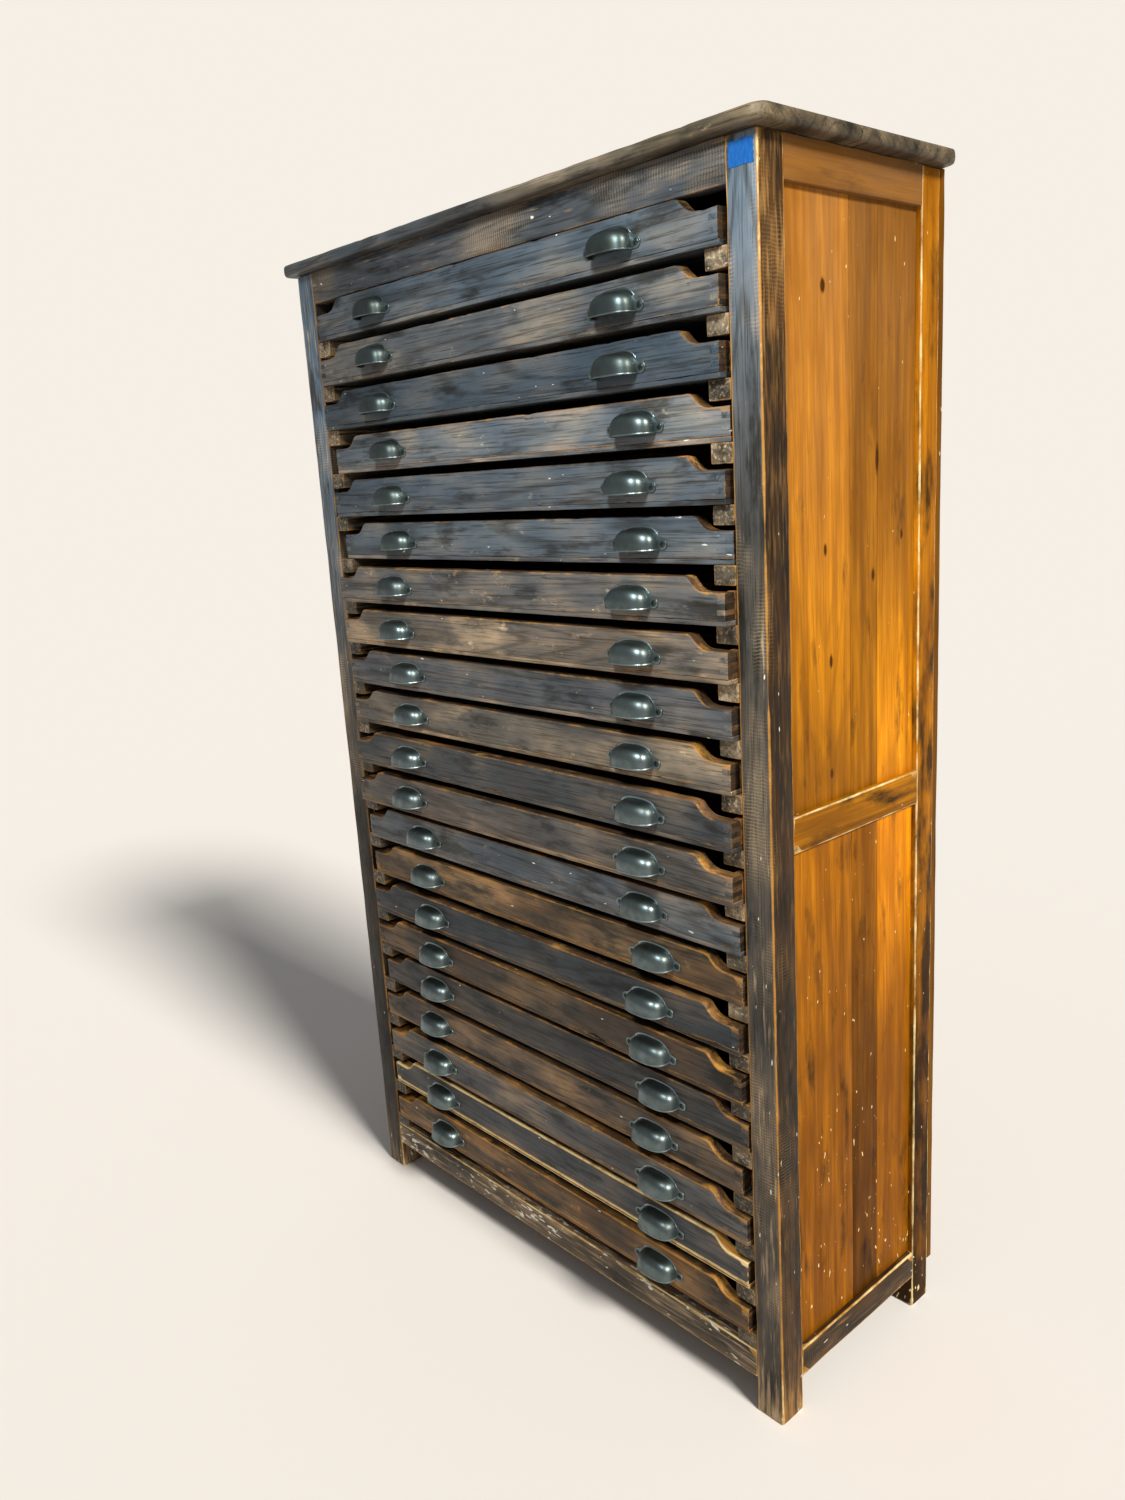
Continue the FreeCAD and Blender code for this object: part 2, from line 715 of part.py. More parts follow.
# ---------------------------------------------------------------- one pull and one screw
# The cup is part of a round dome: its section is an arc of this radius, and the arc's centre
# lies behind the board's face by the rest of that radius.
CUP_RADIUS = "((cup_half_width * cup_half_width + cup_reach * cup_reach) / (2 * cup_reach))"
CUP_CENTRE = f"({CUP_RADIUS} - cup_reach)"


SCREW_HOLE_RADIUS = "(screw_radius + screw_gap)"
SCREW_LEVEL = "(pull_lift + ear_radius)"


def half_span(radius):
    """Half the width at which an arc about the cup's centre meets the board's face."""
    return f"sqrt({radius} * {radius} - {CUP_CENTRE} * {CUP_CENTRE})"


def crescent(sketch, outer, inner):
    """The strip between two arcs about the cup's centre, closed along the board's face."""
    outline(sketch, [
        (f"-{half_span(outer)}", "0", outer),
        (half_span(outer), "0"),
        (half_span(inner), "0", f"-{inner}"),
        (f"-{half_span(inner)}", "0"),
    ])


def cup_pull():
    """A pull that the fingers reach into from below: dome, brim and two ears."""
    inner_radius = f"({CUP_RADIUS} - cup_wall)"
    body = doc.addObject("PartDesign::Body", "cup_pull")
    section = sketch_on(body, "XY_Plane", "cup_section")
    crescent(section, CUP_RADIUS, inner_radius)
    turn(body, section, "H_Axis", 90, "cup_dome", reverse=True)
    brim = sketch_on(body, "XY_Plane", "cup_brim_plan")
    crescent(brim, f"({CUP_RADIUS} + brim_width)", inner_radius)
    pad(body, brim, "brim_thick", "cup_brim")
    ears = sketch_on(body, "XZ_Plane", "cup_ear_faces")
    inner_x = half_span(inner_radius)
    round_x = "(ear_reach - ear_radius)"
    outline(ears, [
        (inner_x, "0"), (round_x, "0", "ear_radius"), ("ear_reach", "ear_radius", "ear_radius"),
        (round_x, "2 * ear_radius"), (inner_x, "2 * ear_radius"),
    ])
    outline(ears, [
        (f"-{inner_x}", "2 * ear_radius"), (f"-{round_x}", "2 * ear_radius", "ear_radius"),
        ("-ear_reach", "ear_radius", "ear_radius"), (f"-{round_x}", "0"), (f"-{inner_x}", "0"),
    ])
    pad(body, ears, "ear_thick", "cup_ears")
    holes = sketch_on(body, "XZ_Plane", "cup_ear_holes")
    for side in (LEFT, RIGHT):
        circle(holes, f"{side} * {round_x}", "ear_radius", SCREW_HOLE_RADIUS)
    pocket(body, holes, "ear_thick", "cup_screw_holes", reverse=True)
    return body


def wood_screw():
    """A slotted round-head screw. Its origin is under the head, and it points along +Y."""
    body = doc.addObject("PartDesign::Body", "wood_screw")
    section = sketch_on(body, "XY_Plane", "screw_section")
    head = "screw_head_radius"
    high = "screw_head_high"
    dome_radius = f"(({head} * {head} + {high} * {high}) / (2 * {high}))"
    outline(section, [
        ("0", "screw_long"), ("0", f"-{high}", dome_radius), (head, "0"),
        ("screw_radius", "0"), ("screw_radius", "screw_long - 2 * screw_radius"),
    ])
    turn(body, section, "V_Axis", 360, "screw_turned")
    slot = sketch_on(body, "XY_Plane", "screw_slot_side")
    rectangle(slot, (f"-{head}", f"-{high}"), (head, f"-{high} + screw_slot_deep"))
    before = volume(body)
    groove = body.newObject("PartDesign::Pocket", "screw_slot")
    groove.Profile = slot
    groove.Midplane = True
    bind(groove, Length="screw_slot_width")
    doc.recompute()
    if volume(body) > before - 1e-6:
        raise RuntimeError("screw_slot cut nothing")
    return body


def pilot_hole():
    """The hole that one screw needs in a case's front, from the front's face inwards."""
    body = doc.addObject("PartDesign::Body", "pilot_hole")
    section = sketch_on(body, "XZ_Plane", "pilot_section")
    circle(section, "0", "0", SCREW_HOLE_RADIUS)
    pad(body, section, "screw_long - ear_thick + screw_gap", "pilot_depth", reverse=True)
    return body


def pull_x(name, side, side_name):
    """Where one pull sits on a case, counted from the case's own middle."""
    return f"({side} * pull_offset + {name}_{side_name}_pull_error - {name}_side_share * side_play)"


pull = cup_pull()
screw = wood_screw()
pilot = pilot_hole()


# ---------------------------------------------------------------- the 21 drawers
for drawer in range(1, DRAWER_COUNT + 1):
    name = drawer_name(drawer)
    hardware = []
    holes = []
    for side, side_name in ((LEFT, "left"), (RIGHT, "right")):
        x = pull_x(name, side, side_name)
        hardware.append(link(f"{name}_{side_name}_pull", pull, x, "0", "pull_lift"))
        for ear, ear_name in ((LEFT, "first"), (RIGHT, "second")):
            screw_x = f"{x} + {ear} * (ear_reach - ear_radius)"
            label = f"{name}_{side_name}_{ear_name}"
            hardware.append(link(f"{label}_screw", screw, screw_x, "-ear_thick", SCREW_LEVEL))
            holes.append(link(f"{label}_hole", pilot, screw_x, "0", SCREW_LEVEL))
    front = cut(f"{name}_front", front_board, holes)
    place_of_case = {
        "x": f"{name}_side_share * side_play",
        "y": f"{FRONT_PLANE} + home_recess - {name}_stand_out",
        "z": f"{LOWEST_CASE} + {DRAWER_COUNT - drawer} * {CASE_PITCH}",
    }
    keep(f"{name}_case", compound(f"{name}_case_set", [front] + case_pieces), **place_of_case)
    keep(f"{name}_pulls", compound(f"{name}_pull_set", hardware), **place_of_case)

# ---------------------------------------------------------------- blank sticker
keep("post_label",
     box("post_label_paper", ("label_width", "label_thick", "label_high"), ("0", "0", "0")),
     x=f"{HALF_OPENING} + (post_width - label_width) / 2",
     y=f"{FRONT_PLANE} - label_thick",
     z=f"{POST_HIGH} - label_drop - label_high / 2")

# ---------------------------------------------------------------- checks and files
doc.recompute()
failed = [item.Name for item in doc.Objects
          if "Invalid" in item.State or "Error" in item.State]
if failed:
    raise RuntimeError(f"these objects failed: {failed}")
for name, thing in nodes.items():
    if thing.Shape.isNull() or not thing.Shape.isValid():
        raise RuntimeError(f"{name} has no valid shape")
os.makedirs("parts", exist_ok=True)
for name, thing in nodes.items():
    thing.Shape.exportStep(f"parts/{name}.step")
print(f"{len(nodes)} sub-parts written")
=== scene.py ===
"""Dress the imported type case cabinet: worn boards, ogee case fronts, cup pulls and finishes.

Run as a script in Blender. The CAD frame is loaded first, and every piece takes its place from it.
"""

import functools
import math
from types import SimpleNamespace

import bpy
import numpy as np
from bpy.props import FloatProperty, FloatVectorProperty, IntProperty
from mathutils import Matrix, Vector


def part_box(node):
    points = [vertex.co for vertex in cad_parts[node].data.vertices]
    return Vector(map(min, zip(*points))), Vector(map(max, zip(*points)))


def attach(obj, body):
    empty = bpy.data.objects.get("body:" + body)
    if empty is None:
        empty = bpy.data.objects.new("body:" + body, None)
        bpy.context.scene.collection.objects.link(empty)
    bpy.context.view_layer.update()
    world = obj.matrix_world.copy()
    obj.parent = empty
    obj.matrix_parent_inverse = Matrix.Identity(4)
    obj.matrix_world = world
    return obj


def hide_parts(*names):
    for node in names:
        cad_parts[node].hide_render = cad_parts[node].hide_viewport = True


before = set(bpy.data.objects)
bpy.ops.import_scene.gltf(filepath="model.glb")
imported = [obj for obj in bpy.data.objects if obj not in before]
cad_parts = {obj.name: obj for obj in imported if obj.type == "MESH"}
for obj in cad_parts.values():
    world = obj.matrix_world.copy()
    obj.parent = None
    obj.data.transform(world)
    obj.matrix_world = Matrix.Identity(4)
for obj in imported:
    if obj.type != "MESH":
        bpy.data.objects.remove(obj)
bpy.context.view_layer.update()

bl_info = {
    "name": "Type Case Cabinet",
    "version": (1, 0, 0),
    "blender": (4, 5, 0),
    "location": "View3D > Sidebar > Cabinet",
    "description": "Builds the visible pieces of a printers' type case cabinet on its packed frame",
    "category": "Object",
}

MM = 0.001
CASE_COUNT = sum(1 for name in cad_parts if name.endswith("_case"))
RIM = 14 * MM  # how far from a board's edge the wear attribute still changes
RIM_SHARE = 0.3  # the most of a board's width or length that one rim takes up
SHARP_ANGLE = math.radians(38)  # faces that meet at more than this keep a sharp edge
TINY = 1e-9

# Each board axis order keeps the board's own frame right-handed: along, across, deep.
GRAIN_AXES = {"x": (0, 1, 2), "y": (1, 2, 0), "z": (2, 0, 1)}

# The looks of a board are two triples that its mesh carries to the material: a tone is blue
# film with a painted cool reflection, brightness and edge wear, and a finish is warmth, rubbed
# patches and paint specks.
BARE = (0.0, 0.0, 0.0)

# One row per case, from the top: blue film with a painted cool reflection, brightness, edge wear,
# warmth, rubbed patches.
CASE_LOOKS = (
    (0.90, 1.77, 0.30, 0.10, 0.10),
    (0.65, 2.03, 0.35, 0.20, 0.15),
    (1.00, 1.18, 0.30, 0.05, 0.05),
    (0.72, 2.94, 0.55, 0.10, 0.28),
    (0.90, 1.71, 0.35, 0.10, 0.15),
    (0.85, 2.18, 0.40, 0.10, 0.20),
    (0.50, 2.33, 0.45, 0.30, 0.30),
    (0.30, 3.05, 0.50, 0.35, 0.30),
    (0.60, 1.98, 0.45, 0.30, 0.15),
    (0.30, 2.69, 0.50, 0.25, 0.25),
    (0.60, 1.17, 0.45, 0.30, 0.15),
    (0.40, 2.04, 0.50, 0.45, 0.20),
    (0.70, 1.97, 0.50, 0.20, 0.20),
    (0.10, 1.83, 0.60, 0.75, 0.30),
    (0.70, 0.81, 0.55, 0.25, 0.10),
    (0.25, 1.00, 0.55, 0.70, 0.15),
    (0.50, 1.00, 0.55, 0.40, 0.10),
    (0.25, 1.80, 0.55, 0.70, 0.15),
    (0.50, 1.94, 0.60, 0.40, 0.20),
    (0.60, 1.41, 1.70, 0.30, 0.20),
    (0.10, 1.80, 0.75, 0.90, 0.30),
)


def linear(hex_code):
    """Turn an sRGB hex colour into linear red, green and blue."""
    channels = [int(hex_code[k:k + 2], 16) / 255 for k in (1, 3, 5)]
    return tuple(c / 12.92 if c <= 0.04045 else ((c + 0.055) / 1.055) ** 2.4 for c in channels)


def length(name, description, millimetres):
    """A size that a user can set, from its default in millimetres."""
    return FloatProperty(name=name, description=description, default=millimetres * MM,
                         unit="LENGTH", precision=4)


def colour(name, description, hex_code):
    """A colour that a user can set, from its default as sRGB hex."""
    return FloatVectorProperty(name=name, description=description, default=linear(hex_code),
                               subtype="COLOR", size=3, min=0, max=1)


# ------------------------------------------------------------------ sizes and colours
class CabinetSizes(bpy.types.PropertyGroup):
    front_thick: length("Front thickness", "Thickness of a case's front board", 18)
    side_thick: length("Side thickness", "Thickness of a case's side and back boards", 12)
    bottom_thick: length("Bottom thickness", "Thickness of a case's bottom board", 6)
    side_high: length("Side height", "Height of a case's sides above its underside", 38.8)
    end_flat: length("End flat", "Level stretch at each low end of a front board", 30)
    scoop_run: length("Scoop run", "Width of the ogee between the low and the high edge", 32)
    centre_bar: length("Centre bar", "Thickness of the bar that halves a case", 12)
    slat: length("Slat", "Thickness of the dividing slats", 4)
    slat_high: length("Slat height", "Height of the dividing slats", 26)
    bar_high: length("Bar height", "Height of the bar that halves a case", 30)
    cell_deep: length("Cell depth", "Depth of the cells in the two front rows", 124)
    fingers: IntProperty(name="Fingers", description="Bands in a case's finger joint", default=5)
    arris: length("Arris", "Radius of the boards' worn edges", 1.6)
    bullnose: length("Bullnose", "Radius of the top's rounded edge", 5.5)
    top_corner: length("Top corner", "Radius of the top's corners in plan", 20)
    board_gap: length("Board gap", "Gap between neighbouring boards", 0.6)
    cup_half: length("Cup half width", "Half the width of a pull's cup", 33)
    cup_high: length("Cup height", "Height of a pull's cup", 26)
    cup_reach: length("Cup reach", "How far a pull's cup stands out", 23.5)
    cup_wall: length("Cup wall", "Thickness of a pull's sheet metal", 1.6)
    ear_reach: length("Ear reach", "From a pull's middle to the tip of its ear", 47)
    ear_high: length("Ear height", "Height of a pull's ears", 13)
    screw_head: length("Screw head", "Radius of a pull's screw heads", 4.2)


class CabinetColours(bpy.types.PropertyGroup):
    stain: colour("Stain", "Dark stain in the grain", "#17130c")
    stained_wood: colour("Stained wood", "Wood under the dark stain", "#4f4532")
    # the film's blue-grey is partly wax and dust, and partly a painted cool reflection
    film_and_sheen: colour("Film", "Blue-grey film of wax and dust", "#3b4650")
    bloom: colour("Bloom", "Pale haze where the finish is rubbed thin", "#857d6c")
    warm: colour("Warm brown", "Reddish brown under worn stain", "#67441e")
    warm_haze: colour("Warm haze", "Dulled varnish high on the sides", "#8f6a48")
    bare: colour("Bare wood", "Wood where the finish has worn off", "#a97733")
    cream: colour("Pale wear", "Palest worn edges", "#d9c48f")
    amber: colour("Amber", "Varnished side panels", "#ce8510")
    amber_dark: colour("Dark amber", "Dark streaks of the side panels", "#85500c")
    inner_wood: colour("Inner wood", "Unfinished wood inside", "#94663c")
    inner_dark: colour("Inner dark", "Dark streaks of the unfinished wood", "#55331b")
    paint: colour("Paint", "Old spots of white paint", "#cfc9ba")
    metal: colour("Metal", "Dark steel of the pulls", "#424d4c")
    # the pale steel that is painted on the pulls as their reflection and highlights
    metal_sheen: colour("Worn metal", "Steel that fingers have polished", "#96a5a8")
    tape: colour("Tape", "Blank blue sticker", "#084c8c")
    floor: colour("Backdrop", "Studio floor and backdrop", "#f6efe5")


# ------------------------------------------------------------------ boards
def waves(points, rng, wavelength):
    """Smooth noise of about -1 to 1: the mean of sine waves in random directions, times 1.8."""
    count = 7
    directions = rng.normal(size=(count, 3))
    directions /= np.linalg.norm(directions, axis=1, keepdims=True)
    steps = directions / (wavelength * rng.uniform(0.6, 1.6, (count, 1)))
    phases = rng.uniform(0, 2 * math.pi, count)
    return np.sin(2 * math.pi * (points @ steps.T) + phases).mean(axis=-1) * 1.8


def ring_of(low_a, high_a, low_d, high_d, radii, arc_steps=3):
    """Cross-sections of a board: rounded rectangles, one for each station along it.

    Each corner is a quarter circle about a centre one radius inside both faces. Each straight
    run gets three more points: one where the rim of either edge ends, and its middle. Returns
    the points, the outward directions, the distance to the nearest arris and a mask of the arcs.
    """
    columns, directions, distances, on_arc, arcs = [], [], [], [], []
    corners = ((1, 0), (1, 1), (0, 1), (0, 0))
    for k, ((is_high_a, is_high_d), radius) in enumerate(zip(corners, radii)):
        centre_a = high_a - radius if is_high_a else low_a + radius
        centre_d = high_d - radius if is_high_d else low_d + radius
        angles = np.radians(-90 + 90 * k + np.linspace(0, 90, arc_steps + 1))
        arcs.append([(centre_a + radius * math.cos(t), centre_d + radius * math.sin(t), t)
                     for t in angles])
    for k, arc in enumerate(arcs):
        for a, d, t in arc:
            columns.append(np.stack([a, d], axis=-1))
            directions.append((math.cos(t), math.sin(t)))
            distances.append(np.zeros_like(a))
            on_arc.append(1.0)
        start = np.stack(arc[-1][:2], axis=-1)
        end = np.stack(arcs[(k + 1) % 4][0][:2], axis=-1)
        run = np.linalg.norm(end - start, axis=-1)
        edge = np.minimum(RIM, 0.42 * run)  # less than half, so that the two rims stay apart
        facing = (math.cos(arc[-1][2]), math.sin(arc[-1][2]))
        for offset, gap in ((edge, edge), (run / 2, run / 2), (run - edge, edge)):
            share = (offset / np.maximum(run, TINY))[:, None]
            columns.append(start + (end - start) * share)
            directions.append(facing)
            distances.append(gap)
            on_arc.append(0.0)
    return (np.stack(columns, axis=1), np.array(directions), np.stack(distances, axis=1),
            np.array(on_arc))


def stations_between(start, end, end_radius, step):
    """Places along a board: rounded ends, the rims, and even steps between. Also their inset.

    Each end is a quarter circle, so a place moves in by one minus the cosine of its turn while
    the section shrinks by one minus the sine.
    """
    turn = np.radians((0, 30, 60, 90))
    rounding = end_radius * (1 - np.cos(turn))
    inset = end_radius * (1 - np.sin(turn))
    reach = min(RIM, RIM_SHARE * (end - start))
    inner = np.linspace(start + reach, end - reach,
                        max(2, int((end - start - 2 * reach) / step) + 1))
    places = np.concatenate([start + rounding, inner, (end - rounding)[::-1]])
    insets = np.concatenate([inset, np.zeros(len(inner)), inset[::-1]])
    return places, insets


def spread(value, points, outward):
    """One value for every vertex, or what a function of place and outward direction gives."""
    if callable(value):
        return np.broadcast_to(value(points, outward), (len(points), 3))
    return np.tile(value, (len(points), 1))


class Joinery:
    """Collects boards and other surfaces, and makes them one mesh object."""

    def __init__(self):
        self.points, self.loops, self.totals = [], [], []
        self.grain, self.rim, self.tone, self.finish, self.slots = [], [], [], [], []
        self.count = 0

    def add(self, points, faces, grain, rim, tone, finish, slot=0, outward=None):
        """Add vertices and a list of face arrays, each array with faces of one size.

        grain is where each vertex lies in its board's figure, and rim is how far it is from
        the nearest arris. tone and finish are looks, and slot is the number of the material.
        """
        self.points.append(points)
        self.grain.append(grain)
        self.rim.append(rim)
        self.tone.append(spread(tone, points, outward))
        self.finish.append(spread(finish, points, outward))
        for group in faces:
            self.loops.append((group + self.count).ravel())
            self.totals.append(np.full(len(group), group.shape[1]))
            self.slots.append(np.full(len(group), slot))
        self.count += len(points)

    def build(self, name, materials):
        """Make the mesh object, whose point attributes carry the looks to the materials."""
        mesh = bpy.data.meshes.new(name)
        points = np.concatenate(self.points)
        loops = np.concatenate(self.loops)
        totals = np.concatenate(self.totals)
        mesh.vertices.add(len(points))
        mesh.vertices.foreach_set("co", points.astype(np.float32).ravel())
        mesh.loops.add(len(loops))
        mesh.loops.foreach_set("vertex_index", loops.astype(np.int32))
        mesh.polygons.add(len(totals))
        starts = np.concatenate([[0], np.cumsum(totals)[:-1]])
        mesh.polygons.foreach_set("loop_start", starts.astype(np.int32))
        mesh.polygons.foreach_set("material_index", np.concatenate(self.slots).astype(np.int32))
        mesh.update(calc_edges=True)
        mesh.validate()
        mesh.polygons.foreach_set("use_smooth", np.ones(len(mesh.polygons), dtype=bool))
        mesh.set_sharp_from_angle(angle=SHARP_ANGLE)
        for label, kind, key, values in (
                ("grain", "FLOAT_VECTOR", "vector", self.grain),
                ("tone", "FLOAT_VECTOR", "vector", self.tone),
                ("finish", "FLOAT_VECTOR", "vector", self.finish),
                ("rim", "FLOAT", "value", self.rim)):
            attribute = mesh.attributes.new(label, kind, "POINT")
            attribute.data.foreach_set(key, np.concatenate(values).astype(np.float32).ravel())
        for material in materials:
            mesh.materials.append(material)
        piece = bpy.data.objects.new(name, mesh)
        bpy.context.scene.collection.objects.link(piece)
        return piece


def closed_faces(station_count, ring_count):
    """Quads of a tube whose rings run counter-clockwise seen from its far end."""
    s, r = np.meshgrid(np.arange(station_count - 1), np.arange(ring_count), indexing="ij")
    after = (r + 1) % ring_count
    corners = [s * ring_count + r, s * ring_count + after,
               (s + 1) * ring_count + after, (s + 1) * ring_count + r]
    return np.stack(corners, axis=-1).reshape(-1, 4)


def capped_faces(station_count, ring_count):
    """The quads of such a tube, and one face over each end."""
    ring = np.arange(ring_count)[None, :]
    return [closed_faces(station_count, ring_count), ring[:, ::-1],
            (station_count - 1) * ring_count + ring]


def carried(places, section):
    """Sections set along a piece, as points in its own axes: along, across and deep."""
    along = np.broadcast_to(places[:, None, None], (*section.shape[:2], 1))
    return np.concatenate([along, section], axis=2)


def add_board(joinery, low, high, grain, tone, finish, seed, slot=0, radii=1.6 * MM,
              end_radius=0.8 * MM, step=30 * MM, wear=0.5 * MM, chips=0.0, warp=0.12 * MM,
              high_edge=None, arc_steps=3):
    """A worn board between two corners of its box.

    Its surface is a rounded rectangle carried along the grain. The rectangle shrinks by a
    quarter circle at each end. Along the edges, smooth noise is taken off the rounding, and
    chips where it peaks. radii is one radius for all four arrises or one for each, and
    high_edge gives the level of the upper edge as a function of the place along the board.
    """
    rng = np.random.default_rng(seed)
    order = GRAIN_AXES[grain]
    low, high = (np.array(corner, dtype=float)[list(order)] for corner in (low, high))
    places, insets = stations_between(low[0], high[0], end_radius, step)
    caps = min(RIM, RIM_SHARE * min(high[1] - low[1], high[2] - low[2])) - end_radius
    places = np.concatenate([[places[0]], places, [places[-1]]])
    insets = np.concatenate([[insets[0] + caps], insets, [insets[-1] + caps]])
    top = np.full_like(places, high[2]) if high_edge is None else high_edge(places)
    # a radius is at most 0.45 of the section's smaller side, so that two of them always fit
    room = 0.45 * np.minimum(high[1] - low[1] - 2 * insets, top - low[2] - 2 * insets)
    fitted = [np.clip(np.minimum(r, room), 0.05 * MM, None) for r in np.broadcast_to(radii, 4)]
    section, outward, edge, on_arc = ring_of(
        low[1] + insets, high[1] - insets, low[2] + insets, top - insets, fitted, arc_steps)
    own = carried(places, section)
    # wear and warp act along the outward direction of the section
    body = 1.0 * (insets < end_radius * 0.6)[:, None]
    rubbed = np.clip(waves(own, rng, 90 * MM), 0, 1) * wear + 0.25 * wear * waves(own, rng, 20 * MM)
    chipped = chips * np.clip(waves(own, rng, 28 * MM) - 0.75, 0, 1)
    shift = warp * waves(own, rng, 300 * MM) - on_arc * (rubbed + chipped)
    own[:, :, 1] += shift * body * outward[:, 0]
    own[:, :, 2] += shift * body * outward[:, 1]
    along = np.minimum(places - low[0], high[0] - places)[:, None]
    is_cap = (insets > end_radius + TINY)[:, None]
    rim = np.where(is_cap, caps, np.minimum(edge, np.broadcast_to(along, edge.shape)))
    rim = np.clip(rim / RIM, 0, 1)
    count = section.shape[1]
    points = np.empty((len(places) * count, 3))
    points[:, list(order)] = own.reshape(-1, 3)
    facing = np.zeros_like(points)
    facing[:, order[1]] = np.tile(outward[:, 0], len(places))
    facing[:, order[2]] = np.tile(outward[:, 1], len(places))
    is_end = np.repeat(insets > 0.3 * end_radius, count)
    facing[is_end] = 0
    facing[is_end, order[0]] = np.sign(np.repeat(places, count)[is_end] - (low[0] + high[0]) / 2)
    figure = own.reshape(-1, 3) + rng.uniform(0, 20, 3)  # each board has a figure of its own
    joinery.add(points, capped_faces(len(places), count), figure, rim.ravel(), tone, finish, slot,
                facing)


def finish_piece(joinery, name, finishes, body, nodes=()):
    """Build a piece in its finishes, let it ride on its body and stand for its CAD nodes."""
    piece = joinery.build(name, [finish_named(finish) for finish in finishes])
    if nodes:
        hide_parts(*nodes)
    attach(piece, body)


# ------------------------------------------------------------------ materials
TIMES = {"operation": "MULTIPLY", "use_clamp": True}
PLUS = {"operation": "ADD", "use_clamp": True}
WARM_GLOW = (1.0, 0.78, 0.6, 1.0)  # what full warmth multiplies a varnished board's colour by


def add_node(tree, kind, *ordered, out=None, **others):
    """Add a shader node, and return its first open output or the one that out names.

    Values and links fill its open inputs in order. Of the other words, one with a capital
    names an input, with _ for each space, and the rest are settings of the node.
    """
    node = tree.nodes.new("ShaderNode" + kind)
    named = {key: others.pop(key) for key in list(others) if key[0].isupper()}
    for key, value in others.items():
        setattr(node, key, value)
    filled = list(zip([socket for socket in node.inputs if socket.enabled], ordered))
    filled += [(node.inputs[key.replace("_", " ")], value) for key, value in named.items()]
    for socket, value in filled:
        if isinstance(value, bpy.types.NodeSocket):
            tree.links.new(value, socket)
        else:
            socket.default_value = value
    if out:
        return node.outputs[out]
    return next((socket for socket in node.outputs if socket.enabled), None)


def new_material(name):
    """An empty material, and the node helper bound to its tree."""
    material = bpy.data.materials.new(name)
    material.use_nodes = True
    material.node_tree.nodes.clear()
    return material, functools.partial(add_node, material.node_tree)


def opaque_colours():
    """The colours of the scene's property group, each with full alpha."""
    group = bpy.context.scene.cabinet_colours
    return SimpleNamespace(**{key: (*getattr(group, key), 1.0) for key in group.__annotations__})


def darker(shade, *factors):
    """A colour times one factor, or times one for each channel."""
    return (*(channel * factor for channel, factor in zip(shade[:3], factors * 3)), 1.0)


def wood_figure(node):
    """The pattern inside a board, from its own grain coordinates in metres.

    Growth rings are the level lines of a noise that is stretched along the grain, about 5 mm
    apart. Pores are streaks about 2 mm apart, coarser than in real oak so that they show, and
    fibres are 5 mm apart. Streaks are about 330 mm long, clouds 120 mm, patches 110 mm and
    rubs 45 mm. The first two numbers of a noise are its cycles per metre along and across the
    grain.
    """
    grain = node("Attribute", out="Vector", attribute_name="grain")

    def stretched(along, across):
        return node("VectorMath", grain, (along, across, across), operation="MULTIPLY")

    def noise(along, across, detail, roughness):
        return node("TexNoise", stretched(along, across), 1.0, detail, roughness)

    level = node("Math", noise(0.9, 11, 1.0, 0.3), 80.0, operation="MULTIPLY")
    return SimpleNamespace(
        rings=node("MapRange", node("Math", level, operation="SINE"), -1.0, 0.0),
        pores=noise(13, 460, 3.0, 0.65),
        streaks=noise(3, 75, 4.0, 0.65),
        clouds=noise(8, 17, 3.0, 0.5),
        patches=noise(9, 30, 5.0, 0.62),
        rubs=noise(22, 48, 6.0, 0.7),
        fibres=noise(16, 210, 3.0, 0.6),
        stretched=stretched)


def board_look(node):
    """Each board's own look, from the attributes of its mesh.

    tone holds film, brightness and edge wear, finish holds warmth, rubs and paint specks, and
    rim is 0 on an arris and 1 away from it. On stained wood the film is partly a painted cool
    reflection; clear varnish reads it as haze, and steel as painted sheen.
    """
    tone, finish = (node("SeparateXYZ", node("Attribute", out="Vector", attribute_name=name))
                    for name in ("tone", "finish"))
    film_and_sheen, brightness, wear = tone.node.outputs
    warmth, rubs, specks = finish.node.outputs
    return SimpleNamespace(film_and_sheen=film_and_sheen, brightness=brightness, wear=wear, warmth=warmth, rubs=rubs,
                           specks=specks, rim=node("Attribute", out="Fac", attribute_name="rim"))


def coat(node, under, over, *masks):
    """Lay one colour over another, as far as the product of the masks says."""
    mask = masks[0]
    for other in masks[1:]:
        mask = node("Math", mask, other, **TIMES)
    return node("Mix", mask, under, over, data_type="RGBA")


def brightened(node, wood, brightness):
    """The colour times a brightness that may be more than one."""
    grey = node("CombineColor", brightness, brightness, brightness)
    return node("Mix", 1.0, wood, grey, data_type="RGBA", blend_type="MULTIPLY")


def edge_wear(node, figure, look):
    """How worn the wood is: the rubs, and over them what falls off steeply from the arris."""
    near = node("Math", 1.0, look.rim, operation="SUBTRACT", use_clamp=True)
    arris = node("Math", node("Math", near, 8.0, operation="POWER"), look.wear, **TIMES)
    return node("Math", figure.rubs, 1.2, arris, operation="MULTIPLY_ADD")


def paint_spots(node, wood, figure, look, paint, along):
    """Spots of old paint in loose groups, 2 to 6 mm wide and drawn out along the grain."""
    spot = node("TexNoise", figure.stretched(along, 190), 1.0, 1.0, 0.5)
    grouped = node("Math", look.specks, node("MapRange", figure.clouds, 0.40, 0.56), **TIMES)
    level = node("Math", grouped, 0.18, spot, operation="MULTIPLY_ADD")
    return coat(node, wood, paint, node("MapRange", level, 0.79, 0.82))


